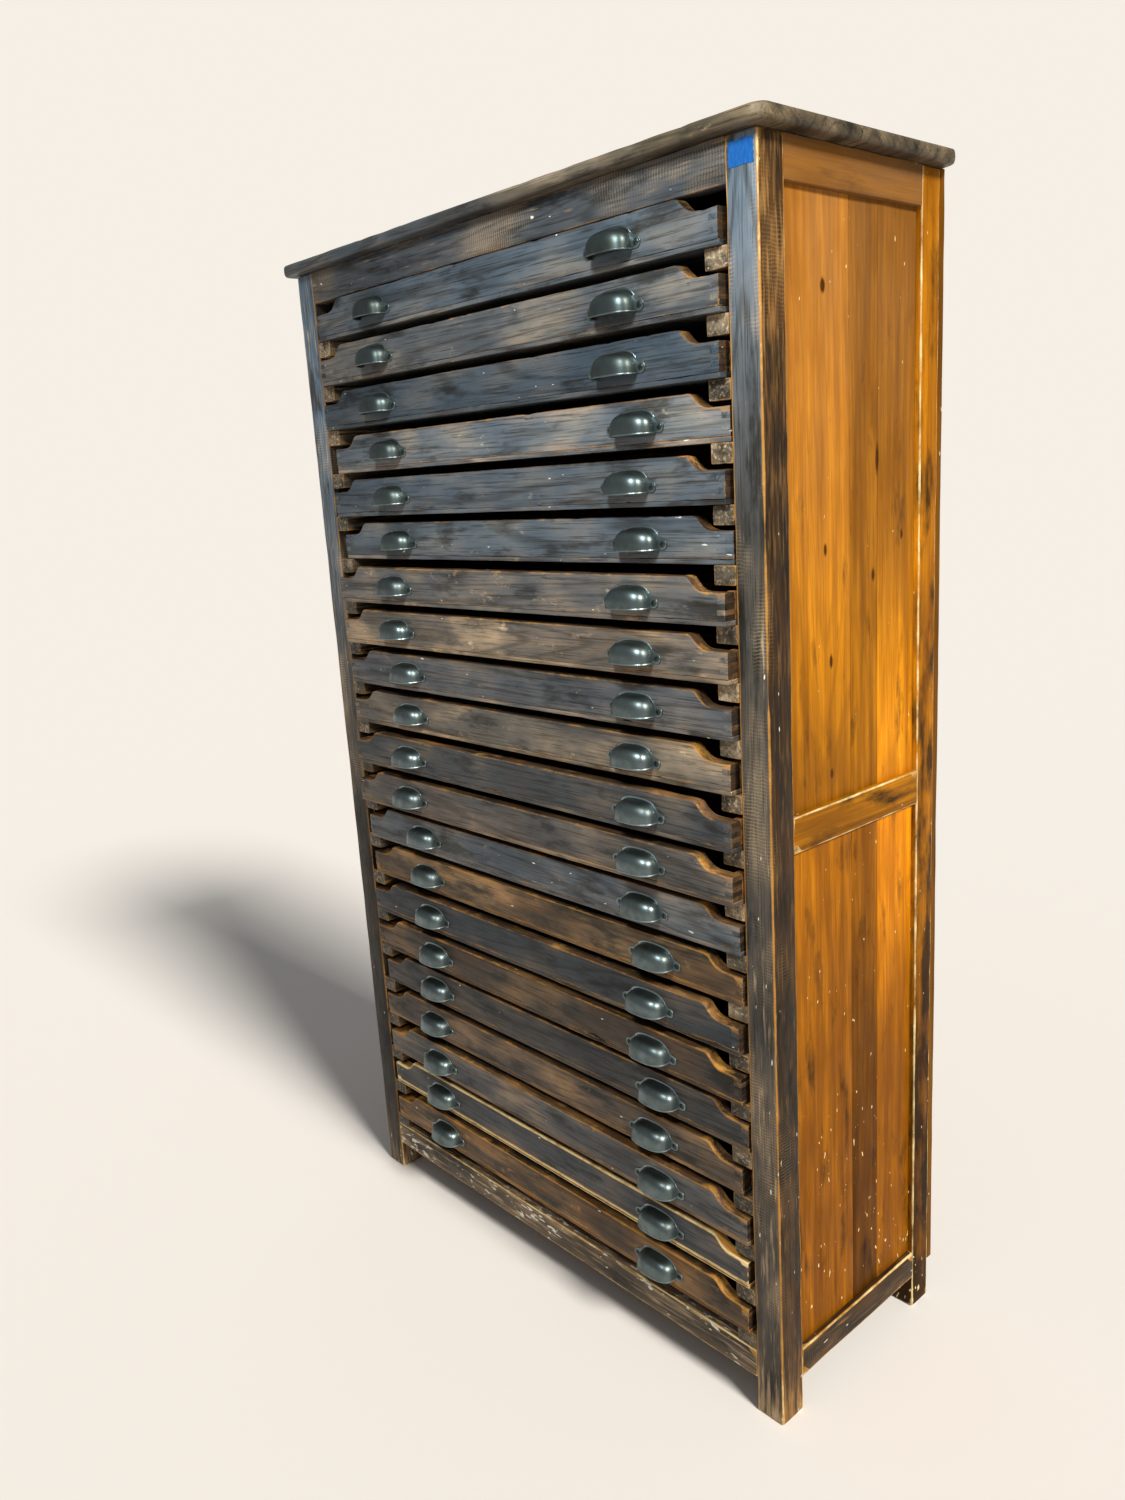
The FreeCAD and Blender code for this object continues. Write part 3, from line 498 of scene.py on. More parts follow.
def stained_wood(name, colours, shine=0.42, saw_marks=False):
    """Old oak, stained nearly black and waxed by many hands.

    The eye sees dark pores and rings in brown wood, a cool film in long clouds that is partly
    wax and dust and partly a painted cool reflection, bare wood along rubbed edges, and a soft
    gloss that breaks up on the scuffs. Sawn boards also show faint marks across the grain, about
    4 mm apart.
    """
    material, node = new_material(name)
    figure, look = wood_figure(node), board_look(node)
    depth = node("Math", node("MapRange", figure.streaks, 0.28, 0.70, 0.10, 0.50),
                 node("MapRange", figure.patches, 0.36, 0.62, 0.0, 0.40), **PLUS)
    wood = coat(node, colours.stain, colours.stained_wood, depth)
    brown = coat(node, colours.stain, colours.warm, depth)
    # warm brown shows in patches, and along the edges where hands have worn the stain
    edging = node("Math", node("MapRange", look.rim, 1.0, 0.35, 0.0, 0.8),
                  node("MapRange", figure.clouds, 0.40, 0.62), **TIMES)
    edging = node("Math", edging, look.wear, **TIMES)
    tan = node("Math", look.warmth, node("MapRange", figure.patches, 0.35, 0.6, 0.5), **TIMES)
    wood = coat(node, wood, brown, node("Math", tan, edging, operation="MAXIMUM", use_clamp=True))
    # the cool film: partly wax and dust, partly a painted cool reflection, strongest on the upper
    # fronts and posts
    wood = coat(node, wood, colours.film_and_sheen, look.film_and_sheen,
                node("MapRange", figure.clouds, 0.66, 0.42, 0.58),
                node("MapRange", figure.streaks, 0.28, 0.55, 0.92, 1.0))
    rubbed = coat(node, colours.bloom, colours.bare, look.warmth, 0.8)
    wood = coat(node, wood, rubbed, node("MapRange", figure.clouds, 0.48, 0.72),
                node("MapRange", figure.patches, 0.30, 0.60),
                node("MapRange", look.film_and_sheen, 0.0, 1.0, 0.26, 0.05))
    for pattern, start, end, share in ((figure.pores, 0.50, 0.34, 0.7),
                                       (figure.rings, 0.40, 0.0, 0.42),
                                       (figure.patches, 0.45, 0.35, 0.7)):
        wood = coat(node, wood, colours.stain, node("MapRange", pattern, start, end), share)
    scuffs = node("Math", look.rubs, 0.30, figure.fibres if saw_marks else figure.rubs,
                  operation="MULTIPLY_ADD")
    wood = coat(node, wood, rubbed, node("MapRange", scuffs, 0.70, 0.90), 0.8)
    relief = node("Math", node("Math", figure.pores, 0.6, **TIMES),
                  node("Math", figure.streaks, 0.6, **TIMES), **PLUS)
    if saw_marks:
        along = node("SeparateXYZ", figure.stretched(1500, 1))
        wobble = node("Math", figure.rubs, 16.0, along, operation="MULTIPLY_ADD")
        marks = node("MapRange", node("Math", wobble, operation="SINE"), 0.1, 1.0, 0.0, 0.5)
        marks = node("Math", marks, node("MapRange", figure.clouds, 0.46, 0.66), **TIMES)
        wood = coat(node, wood, rubbed, marks, 0.55)
        relief = node("Math", relief, marks, **PLUS)
    uneven = node("Math", look.brightness, node("MapRange", figure.clouds, 0.36, 0.64, 0.66, 1.22),
                  operation="MULTIPLY")
    wood = brightened(node, wood, uneven)
    # edges: bare wood, and the palest wear on the arris itself
    edge = edge_wear(node, figure, look)
    bare = node("MapRange", edge, 0.98, 1.30)
    wood = coat(node, wood, colours.bare, bare, 0.8)
    wood = coat(node, wood, colours.cream, node("MapRange", edge, 1.40, 1.62))
    wood = paint_spots(node, wood, figure, look, colours.paint, 60)
    rough = node("MapRange", figure.rubs, 0.3, 0.75, shine - 0.1, shine + 0.2)
    node("OutputMaterial", node(
        "BsdfPrincipled", Base_Color=wood, IOR=1.27,
        Roughness=node("Math", rough, node("Math", bare, 0.2, **TIMES), **PLUS),
        Normal=node("Bump", Height=relief, Strength=0.45, Distance=0.7 * MM)))
    return material


def plain_wood(name, light, dark, shine, colours, knots=()):
    """Wood with a clear or worn-off finish.

    The eye sees long streaks of two browns, fine dark pores and, on varnished boards, a warm
    depth with a soft shine. Each knot is an ellipse whose edge the rubs make wavy.
    """
    material, node = new_material(name)
    figure, look = wood_figure(node), board_look(node)
    wood = coat(node, dark, light, node("MapRange", figure.streaks, 0.30, 0.66))
    for pattern, start, end, share in ((figure.clouds, 0.56, 0.34, 0.6),
                                       (figure.rings, 0.45, 0.0, 0.3),
                                       (figure.pores, 0.50, 0.34, 0.5)):
        wood = coat(node, wood, dark, node("MapRange", pattern, start, end), share)
    soot = node("Math", look.rubs, 0.30, figure.patches, operation="MULTIPLY_ADD")
    wood = coat(node, wood, colours.stain, node("MapRange", soot, 0.60, 0.78), 0.85)
    wood = coat(node, wood, colours.warm_haze, look.film_and_sheen,
                node("MapRange", figure.clouds, 0.35, 0.6, 0.5, 1.0))
    wood = brightened(node, wood, look.brightness)
    wood = node("Mix", look.warmth, wood, WARM_GLOW, data_type="RGBA", blend_type="MULTIPLY")
    edge = edge_wear(node, figure, look)
    wood = coat(node, wood, colours.cream, node("MapRange", edge, 1.0, 1.4))
    where = node("TexCoord", out="Object")
    for y, z, half_wide, half_high in knots:
        centred = node("Mapping", where, Scale=(0, 1 / half_wide, 1 / half_high),
                       Location=(0, -y / half_wide, -z / half_high))
        span = node("VectorMath", centred, operation="LENGTH")
        wavy = node("Math", figure.rubs, 0.6, span, operation="MULTIPLY_ADD")
        wood = coat(node, wood, darker(dark, 0.25), node("MapRange", wavy, 1.05, 0.7))
    wood = paint_spots(node, wood, figure, look, colours.cream, 75)
    relief = node("Math", node("Math", figure.pores, 0.5, **TIMES),
                  node("Math", figure.patches, 0.8, **TIMES), **PLUS)
    node("OutputMaterial", node(
        "BsdfPrincipled", Base_Color=wood, IOR=1.14,
        Roughness=node("MapRange", figure.rubs, 0.3, 0.75, shine - 0.1, shine + 0.2),
        Normal=node("Bump", Height=relief, Strength=0.35, Distance=1.0 * MM)))
    return material


def aged_steel(name, colours):
    """Pressed steel, once japanned, worn to a dark grey-blue metal.

    The eye sees a dark, half-glossy metal with broad highlights, duller patches of grime about
    20 mm wide, paler metal painted on as reflection and highlight, and faint pits under 2 mm apart.
    """
    material, node = new_material(name)
    where = node("TexCoord", out="Object")
    cloud = node("TexNoise", where, 45.0, 4.0, 0.6)
    pits = node("TexNoise", where, 600.0, 2.0)
    shade = coat(node, colours.metal, darker(colours.metal, 0.42, 0.38, 0.30),
                 node("MapRange", cloud, 0.35, 0.7))
    # painted reflection and highlight: pale metal where the tone's first channel says
    shade = coat(node, shade, colours.metal_sheen, board_look(node).film_and_sheen,
                 node("MapRange", cloud, 0.72, 0.35, 0.5))
    node("OutputMaterial", node(
        "BsdfPrincipled", Base_Color=shade, Metallic=0.9,
        Roughness=node("MapRange", cloud, 0.3, 0.75, 0.28, 0.50),
        Normal=node("Bump", Height=pits, Strength=0.12, Distance=0.3 * MM)))
    return material


def paper_tape(name, colours):
    """Blue crepe tape: matt, with fine cross ripples about 1 mm apart and a few paler rubs."""
    material, node = new_material(name)
    where = node("TexCoord", out="Object")
    ripples = node("TexNoise", node("VectorMath", where, (900, 900, 120), operation="MULTIPLY"),
                   1.0, 2.0)
    pale = (*(min(1.0, channel * 1.5 + 0.05) for channel in colours.tape[:3]), 1.0)
    node("OutputMaterial", node(
        "BsdfPrincipled", Roughness=0.7, IOR=1.2,
        Base_Color=coat(node, colours.tape, pale,
                        node("MapRange", ripples, 0.35, 0.75, 0.0, 0.35)),
        Normal=node("Bump", Height=ripples, Strength=0.3, Distance=0.2 * MM)))
    return material


# Knots on the side panels in metres: y and z of the middle, half width and half height.
PANEL_KNOTS = (
    (-0.039, 1.437, 0.007, 0.013),
    (0.070, 1.245, 0.006, 0.030),
    (-0.038, 1.144, 0.005, 0.012),
    (0.062, 1.105, 0.006, 0.014),
    (0.125, 1.150, 0.005, 0.011),
    (-0.028, 1.010, 0.006, 0.014),
    (-0.028, 0.870, 0.005, 0.010),
)


@functools.lru_cache(maxsize=None)
def finish_named(name):
    """Each finish is made once, from the colours of the scene's property group."""
    colours = opaque_colours()
    makers = {
        "dark_stained_oak": lambda: stained_wood(name, colours),
        "sawn_stained_oak": lambda: stained_wood(name, colours, 0.45, saw_marks=True),
        "amber_varnished_pine": lambda: plain_wood(
            name, colours.amber, colours.amber_dark, 0.42, colours, PANEL_KNOTS),
        "bare_inner_wood": lambda: plain_wood(
            name, colours.inner_wood, colours.inner_dark, 0.62, colours),
        "aged_steel": lambda: aged_steel(name, colours),
        "blue_paper_tape": lambda: paper_tape(name, colours),
    }
    return makers[name]()


# ------------------------------------------------------------------ carcass
def graded(front_low, front_high, side_low, side_high, bend=(0.6, 1.35)):
    """A look that changes with height, and from the front and back faces to the side faces.

    It changes evenly between the two levels of bend, which are in metres.
    """
    corners = [np.array(value) for value in (front_low, front_high, side_low, side_high)]

    def look(points, outward):
        raised = np.clip((points[:, 2:] - bend[0]) / (bend[1] - bend[0]), 0, 1)
        # nothing up to 18 degrees from the front or the back, and all from 70 degrees on
        sideways = np.clip(1.6 * np.abs(outward[:, :1]) - 0.5, 0, 1)
        front = corners[0] + (corners[1] - corners[0]) * raised
        side = corners[2] + (corners[3] - corners[2]) * raised
        return front + (side - front) * sideways
    return look


def worn_foot(look, extra):
    """Add to a look near the floor, the more the lower."""
    def lower(points, outward):
        near = np.clip((FOOT_HIGH - points[:, 2:]) / FOOT_HIGH, 0, 1)
        return spread(look, points, outward) + near * np.array(extra)
    return lower


FOOT_HIGH = 110 * MM  # how far up the posts the wear by the floor reaches
FRAME_TONE = (0.35, 0.85, 0.75)
FRAME_FINISH = (0.45, 0.35, 0.06)
FOOT_TONE = np.array((-0.3, 0.55, 0.45))
FOOT_FINISH = (0.1, 0.75, 0.6)


def bottom_rail_tone(points, outward):
    """The bottom rail is paler on its upper face."""
    return np.array((0.15, 1.65, 0.9)) + np.clip(outward[:, 2:], 0, 1) * np.array((0.0, 1.6, 0.1))


def bottom_rail_finish(points, outward):
    """The bottom rail has the most rubs and paint towards its ends, from x = 0.31 m outwards."""
    ends = np.clip(np.abs(points[:, :1]) * 8 - 2.5, 0, 1)
    return np.array((0.35, 0.55, 1.0)) + ends * np.array((0.0, 0.3, 1.6))


class CABINET_OT_frame(bpy.types.Operator):
    """Build the four posts and the cross rails"""
    bl_idname = "cabinet.frame"
    bl_label = "Posts and rails"

    def execute(self, context):
        sizes = context.scene.cabinet_sizes
        oak, pine = "sawn_stained_oak", "amber_varnished_pine"
        # the right post's front turns brighter and bluer from 1.15 m to 1.55 m up: film with a
        # painted cool sheen over it
        right_tone = graded((0.30, 1.62, 0.72), (0.90, 3.9, 0.8), (0.0, 0.54, 0.65),
                            (0.0, 0.90, 0.85), (1.15, 1.55))
        right_finish = graded((0.35, 0.45, 0.3), (0.1, 0.15, 0.1), (1.0, 0.45, 0.3),
                              (1.0, 0.75, 0.0))
        # the left post's front: painted shade makes it dark low down, and a painted cool reflection
        # makes it bright and blue high up
        left_tone = graded((0.1, 0.22, 0.5), (1.0, 4.0, 0.5), (0.2, 0.5, 0.6), (0.4, 0.9, 0.6))
        rear_tone = graded((0, 0.36, 0.6), (0, 0.88, 0.6), (0, 0.26, 0.6), (0, 0.80, 0.6),
                           (0.25, 0.75))
        rear_finish = graded((0.2, 0.6, 0.2), (0.2, 0.3, 0.0), (0.2, 0.7, 0.2), (0.2, 0.3, 0.0))
        looks = {
            "front_post_left": (oak, left_tone, (0.3, 0.35, 0.15)),
            "front_post_right": (oak, right_tone, right_finish),
            "rear_post_left": (oak, FRAME_TONE, FRAME_FINISH),
            "rear_post_right": (pine, rear_tone, rear_finish),
        }
        for seed, (node, (wood, tone, finish)) in enumerate(looks.items(), start=10):
            joinery = Joinery()
            share = 0.4 if wood == pine else 1.0  # varnish changes less near the floor
            add_board(joinery, *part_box(node), "z", worn_foot(tone, FOOT_TONE * share),
                      worn_foot(finish, FOOT_FINISH), seed, end_radius=4 * MM,
                      wear=0.9 * MM, chips=2.5 * MM, radii=sizes.arris)
            finish_piece(joinery, f"worn_{node}", [wood], "carcass", [node])
        rails = {
            "front_top_rail": ((0.70, 1.50, 0.4), (0.35, 0.2, 0.0)),
            "front_bottom_rail": (bottom_rail_tone, bottom_rail_finish),
            "back_top_rail": (FRAME_TONE, FRAME_FINISH),
            "back_bottom_rail": (FRAME_TONE, FRAME_FINISH),
        }
        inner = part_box("front_post_left")[1][0]
        for seed, (node, (tone, finish)) in enumerate(rails.items(), start=20):
            low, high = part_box(node)
            joinery = Joinery()
            add_board(joinery, (inner, low[1], low[2]), (-inner, high[1], high[2]), "x", tone,
                      finish, seed, wear=0.7 * MM, chips=2 * MM, radii=sizes.arris)
            finish_piece(joinery, f"worn_{node}", [oak], "carcass", [node])
        return {"FINISHED"}


class CABINET_OT_sides(bpy.types.Operator):
    """Build the side rails and the side panels"""
    bl_idname = "cabinet.sides"
    bl_label = "Sides"

    middle_foot: length("Middle rail level", "Underside of the middle side rail", 789)
    middle_high: length("Middle rail height", "Height of the middle side rail", 46)
    rail_thick: length("Rail thickness", "Thickness of the side rails", 22)
    first_board: length("First board", "Width of the front board of a panel", 129)
    second_board: length("Second board", "Width of the middle board of a panel", 59)

    def execute(self, context):
        sizes = context.scene.cabinet_sizes
        front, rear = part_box("front_post_right"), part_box("rear_post_right")
        bottom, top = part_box("front_bottom_rail"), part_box("front_top_rail")
        y0, y1 = front[1][1], rear[0][1]
        # each rail's lower and upper level, material slot, tone and finish
        rails = (
            (bottom[0][2], bottom[1][2], 1, (0.0, 0.8, 0.9), (1.0, 0.4, 0.3)),
            (self.middle_foot, self.middle_foot + self.middle_high, 0, (0, 0.60, 0.6),
             (0, 0.25, 0.1)),
            (top[0][2], top[1][2], 0, (0.65, 0.66, 0.3), (0, 0.10, 0.0)),
        )
        # each panel's lower and upper level, its boards' brightness, the painted glow of light
        # added to it beside the middle rail, and the finish of its lower and upper part
        low_finish = (0.5, 0.18, 0.6), (0.35, 0.05, 0.1)
        high_finish = (0.5, 0.18, 0.0), (0.05, 0.05, 0.0)
        panels = (
            (rails[0][1], rails[1][0], (0.54, 0.22, 0.58), (0.22, 0.40, 1.15), low_finish),
            (rails[1][1], rails[2][0], (1.06, 0.64, 0.66), (-0.38, 0.10, 1.02), high_finish),
        )
        for side, sign in (("left", -1), ("right", 1)):
            outer = sign * front[1][0]
            x0, x1 = sorted((outer - sign * self.rail_thick, outer))
            joinery = Joinery()
            for k, (z0, z1, slot, tone, finish) in enumerate(rails):
                add_board(joinery, (x0, y0, z0), (x1, y1, z1), "y", tone, finish,
                          40 + k + 5 * sign, slot, wear=0.8 * MM, chips=2 * MM,
                          radii=sizes.arris)
            finish_piece(joinery, f"worn_{side}_side_rails",
                         ["amber_varnished_pine", "sawn_stained_oak"], "carcass",
                         [f"{side}_side_rails"])
            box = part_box(f"{side}_side_panels")
            edges = (y0, y0 + self.first_board, y0 + self.first_board + self.second_board, y1)
            joinery = Joinery()
            for k, (z0, z1, tones, painted_glows, (low_look, high_look)) in enumerate(panels):
                finish = graded(low_look, high_look, low_look, high_look, (0.2, 0.9))
                for j, (brightness, share) in enumerate(zip(tones, painted_glows)):
                    gap = sizes.board_gap / 2 if j < 2 else 0
                    add_board(joinery, (box[0][0], edges[j], z0),
                              (box[1][0], edges[j + 1] - gap, z1), "z",
                              self.varnish(brightness, share), finish, 60 + 3 * k + j + 9 * sign,
                              wear=0.2 * MM, warp=0.3 * MM, radii=0.8 * MM, end_radius=0.3 * MM)
            finish_piece(joinery, f"{side}_panel_boards", ["amber_varnished_pine"], "carcass",
                         [f"{side}_side_panels"])
        return {"FINISHED"}

    def varnish(self, brightness, share):
        """The tone of a panel board, with a painted glow of light about the middle rail and hazy
        varnish high up.

        A bell curve adds the share of painted glow to the brightness about the glow level.
        """
        glow_level, glow_reach = 0.81, 0.22
        haze_from, haze_run, haze = 1.0, 0.5, 0.45

        def look(points, outward):
            # painted glow: a pool of light about the middle rail, most on the rear board
            near = np.exp(-((points[:, 2:] - glow_level) / glow_reach) ** 2)
            high_up = np.clip((points[:, 2:] - haze_from) / haze_run, 0, 1)
            return (np.array((0, brightness, 0)) + near * np.array((0, share, 0))
                    + high_up * np.array((haze, 0.0, 0)))
        return look


class CABINET_OT_back(bpy.types.Operator):
    """Build the nailed back boards"""
    bl_idname = "cabinet.back"
    bl_label = "Back"

    boards: IntProperty(name="Boards", description="Number of back boards", default=7)

    def execute(self, context):
        sizes = context.scene.cabinet_sizes
        low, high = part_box("back_boards")
        edges = np.linspace(low[0], high[0], self.boards + 1)
        rng = np.random.default_rng(90)
        joinery = Joinery()
        for k in range(self.boards):
            bright = rng.uniform(0.55, 0.8)
            tone = graded((0, bright, 0), (0, bright, 0), (0, 0.3, 0), (0, 0.4, 0))
            add_board(joinery, (edges[k] + sizes.board_gap / 2, low[1], low[2]),
                      (edges[k + 1] - sizes.board_gap / 2, high[1], high[2]), "z", tone,
                      BARE, 91 + k, wear=0.5 * MM, chips=1.5 * MM, warp=0.2 * MM,
                      radii=1.2 * MM)
        finish_piece(joinery, "worn_back_boards", ["amber_varnished_pine"], "carcass",
                     ["back_boards"])
        return {"FINISHED"}


class CABINET_OT_top(bpy.types.Operator):
    """Build the two boards of the top"""
    bl_idname = "cabinet.top"
    bl_label = "Top"

    def execute(self, context):
        sizes = context.scene.cabinet_sizes
        for seed, (node, is_front) in enumerate(
                (("top_front_board", True), ("top_rear_board", False)), start=110):
            low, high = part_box(node)
            add_top_board(node, low, high, is_front, sizes, seed)
        return {"FINISHED"}


def top_tone(points, outward):
    """The top is brown at its right end, and grows darker and bluer over 0.6 m to the left. The
    darkening is painted shade away from the light on the right, and the blue is the film with its
    painted cool reflection.
    """
    left = np.clip((0.35 - points[:, :1]) / 0.6, 0, 1)
    return np.array((0.10, 1.95, 0.25)) + left * np.array((0.70, -0.45, 0.0))


def add_top_board(node, low, high, is_front, sizes, seed):
    """Half of the top, a rounded rectangle carried along x.

    Near each end, its outer edge follows a quarter circle in plan, and its thickness shrinks
    by a quarter circle, so that the bullnose runs on round the corners.
    """
    rng = np.random.default_rng(seed)
    nose, corner = sizes.bullnose, sizes.top_corner
    turn = np.radians(np.linspace(0, 90, 9))
    ends = corner * (1 - np.cos(turn))
    between = np.arange(low[0] + corner + 10 * MM, high[0] - corner - 9 * MM, 12 * MM)
    places = np.concatenate([low[0] + ends, between, (high[0] - ends)[::-1]])
    depth = np.minimum(places - low[0], high[0] - places)
    thin, plan = (radius - np.sqrt(np.clip(
        radius ** 2 - np.clip(radius - depth, 0, None) ** 2, 0, None)) for radius in (nose, corner))
    seam = 0.5 * MM * (depth < 2 * MM)  # the seam opens a little at each end
    low_a = low[1] + (plan if is_front else seam)
    high_a = high[1] - (seam if is_front else plan)
    half = (high[2] - low[2]) / 2
    outer = np.minimum(nose, half - thin - 0.1 * MM)
    inner = np.minimum(1.0 * MM, outer)
    radii = [inner, inner, outer, outer] if is_front else [outer, outer, inner, inner]
    section, outward, edge, on_arc = ring_of(low_a, high_a, low[2] + thin, high[2] - thin, radii, 5)
    own = carried(places, section)
    shift = (0.2 * MM * waves(own, rng, 250 * MM)
             - on_arc * (0.6 * MM * np.clip(waves(own, rng, 60 * MM), 0, 1)
                         + 2 * MM * np.clip(waves(own, rng, 30 * MM) - 0.8, 0, 1)))
    own[:, :, 1] += shift * outward[:, 0]
    own[:, :, 2] += shift * outward[:, 1]
    rim = np.clip(np.minimum(edge, depth[:, None]) / RIM, 0, 1)
    points = own.reshape(-1, 3)
    joinery = Joinery()
    joinery.add(points, capped_faces(len(places), section.shape[1]),
                points + rng.uniform(0, 20, 3), rim.ravel(), top_tone, (0.15, 0.2, 0.0))
    finish_piece(joinery, f"worn_{node}", ["dark_stained_oak"], "carcass", [node])


class CABINET_OT_runners(bpy.types.Operator):
    """Build the runners under the cases"""
    bl_idname = "cabinet.runners"
    bl_label = "Runners"

    high: length("Runner height", "Height of one runner", 23)

    def execute(self, context):
        rng = np.random.default_rng(130)
        for side in ("left", "right"):
            low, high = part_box(f"{side}_runners")
            pitch = (high[2] - low[2] - self.high) / (CASE_COUNT - 1)
            joinery = Joinery()
            for k in range(CASE_COUNT):
                z = low[2] + k * pitch
                # the lower runners are darker
                tone = (0.15, rng.uniform(1.7, 2.6) - 0.9 * (1 - k / CASE_COUNT), 0.55)
                recess = rng.uniform(0, 1.2) * MM
                add_board(joinery, (low[0], low[1] + recess, z), (high[0], high[1], z + self.high),
                          "y", tone, (0.15, 0.6, 0.2), 140 + k, step=60 * MM, wear=0.8 * MM,
                          chips=2 * MM)
            finish_piece(joinery, f"{side}_runner_bars", ["sawn_stained_oak"], "carcass",
                         [f"{side}_runners"])
        return {"FINISHED"}


# ------------------------------------------------------------------ cases
def ogee(distance, low_end, high_end, flat, run, share=0.3):
    """Height of a front's top edge at a distance from its end.

    Level, then a concave arc and a convex arc that meet on one tangent, then level. The two
    radii add up to (run² + drop²) / (2 drop), and the convex one has the given share.
    """
    drop = high_end - low_end
    both = (run ** 2 + drop ** 2) / (2 * drop)
    lower, upper = (1 - share) * both, share * both
    x = distance - flat
    turn = run * (1 - share)
    concave = low_end + lower - np.sqrt(np.clip(lower ** 2 - np.clip(x, 0, turn) ** 2, 0, None))
    back = np.clip(run - x, 0, run - turn)
    convex = high_end - upper + np.sqrt(np.clip(upper ** 2 - back ** 2, 0, None))
    return np.where(x < turn, concave, convex)


class CABINET_OT_cases(bpy.types.Operator):
    """Build the cases with their fronts, sides and dividers"""
    bl_idname = "cabinet.cases"
    bl_label = "Cases"

    proud: length("Finger stand-out", "How far old finger joints stand proud", 0.25)
    long_cells: IntProperty(name="Wide cells", description="Cells in each half of a front row",
                            default=4)
    short_cells: IntProperty(name="Narrow cells", description="Cells in each half of the back row",
                             default=6)

    def execute(self, context):
        sizes = context.scene.cabinet_sizes
        for number in range(1, CASE_COUNT + 1):
            name = f"drawer_{number:02d}"
            look = CASE_LOOKS[(number - 1) % len(CASE_LOOKS)]
            low, high = (np.array(corner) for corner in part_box(f"{name}_case"))
            self.front(name, number, low, high, sizes, look)
            self.tray(name, number, low, high, sizes, look)
            self.dividers(name, number, low, high, sizes)
        return {"FINISHED"}

    def front(self, name, number, low, high, sizes, look):
        """The front board with its ogee ends, and the side boards' fingers through it."""
        film_and_sheen, brightness, wear, warmth, rubs = look
        floor = low[2] + sizes.bottom_thick
        end_top = low[2] + sizes.side_high
        scoop_middle = sizes.end_flat + sizes.scoop_run / 2
        # where the painted light on each front's right end starts, and the run over which it grows
        lit_from, lit_run = 0.20, 0.14  # metres

        def top_edge(places):
            distance = np.minimum(places - low[0], high[0] - places)
            return ogee(distance, end_top, high[2], sizes.end_flat, sizes.scoop_run)

        def mixed(face, above, end, paler=0.0):
            """The look of the face, of the upper edge and of the end grain.

            Painted light: the right end is brighter by a share of the face's brightness, as light
            falls from the right.
            """
            def blend(points, outward):
                raised = np.clip(outward[:, 2:], 0, 1) ** 2
                sideways = np.abs(outward[:, :1])
                inward = np.minimum(points[:, :1] - low[0], high[0] - points[:, :1])
                scooped = np.clip(2 - np.abs(inward - scoop_middle) / (sizes.scoop_run / 2), 0, 1)
                # painted light: the right end is brighter, as light falls from the right
                lit_right_end = np.clip((points[:, :1] - lit_from) / lit_run, 0, 1)
                front_look = np.array(face) * (1 + lit_right_end * np.array((0, paler, 0)))
                return (front_look * (1 - raised - sideways) + sideways * np.array(end)
                        + raised * np.array(above) * (1 + 0.6 * scooped))
            return blend

        is_low = number > CASE_COUNT / 2
        tone = mixed((film_and_sheen, brightness, wear), (0.1, 1.2 if is_low else 0.9, 0.6 * wear),
                     (0.2, 0.7, 0.4), 0.10)
        finish = mixed((warmth, rubs, 0.05), (1.0, 0.2 + 0.5 * wear, 0.0), (0.8, 0.3, 0.0))

        def finger_tone(points, outward):
            """As the front's, with little wear on the edges."""
            return tone(points, outward) * (1.0, 1.0, 0.2)

        joinery = Joinery()
        add_board(joinery, (low[0], low[1], floor), (high[0], low[1] + sizes.front_thick, high[2]),
                  "x", tone, finish, 200 + number, step=6 * MM, wear=0.7 * MM, chips=2.2 * MM,
                  high_edge=top_edge, radii=[1.2 * MM, 1.8 * MM, 1.8 * MM, 1.2 * MM])
        band = (sizes.side_high - sizes.bottom_thick) / sizes.fingers
        for k in range(1, sizes.fingers, 2):
            for x0, x1 in ((low[0] - self.proud, low[0] + sizes.side_thick),
                           (high[0] - sizes.side_thick, high[0] + self.proud)):
                add_board(joinery, (x0, low[1] - self.proud, floor + k * band),
                          (x1, low[1] + sizes.front_thick, floor + (k + 1) * band), "y",
                          finger_tone, finish, 300 + number * 4 + k, wear=0.15 * MM,
                          radii=0.5 * MM, end_radius=0.4 * MM, arc_steps=1)
        finish_piece(joinery, f"{name}_worn_front", ["dark_stained_oak"], name,
                     [f"{name}_case"])

    def tray(self, name, number, low, high, sizes, look):
        """The sides, the back and the bottom of a case."""
        film_and_sheen, brightness, wear, warmth, rubs = look
        floor = low[2] + sizes.bottom_thick
        rim_top = low[2] + sizes.side_high
        joinery = Joinery()
        oak, bare = 0, 1
        front = low[1] + sizes.front_thick
        for x0, x1 in ((low[0], low[0] + sizes.side_thick), (high[0] - sizes.side_thick, high[0])):
            add_board(joinery, (x0, front, floor), (x1, high[1], rim_top), "y", (0.0, 1.15, 0.0),
                      BARE, 400 + number, slot=bare, step=60 * MM)
        add_board(joinery, (low[0] + sizes.side_thick, high[1] - sizes.side_thick, floor),
                  (high[0] - sizes.side_thick, high[1], rim_top), "x", (0.0, 1.0, 0.0), BARE,
                  430 + number, slot=bare, step=80 * MM)
        # the bottom's front edge shows below the front, a little back from it
        add_board(joinery, (low[0], low[1] + 0.4 * MM, low[2]), (high[0], high[1], floor), "x",
                  (film_and_sheen * 0.8, brightness * 1.15, wear * 0.8), (warmth, rubs, 0.05),
                  460 + number, slot=oak, step=12 * MM, radii=0.8 * MM, wear=0.4 * MM,
                  chips=1.2 * MM)
        finish_piece(joinery, f"{name}_tray", ["dark_stained_oak", "bare_inner_wood"], name)

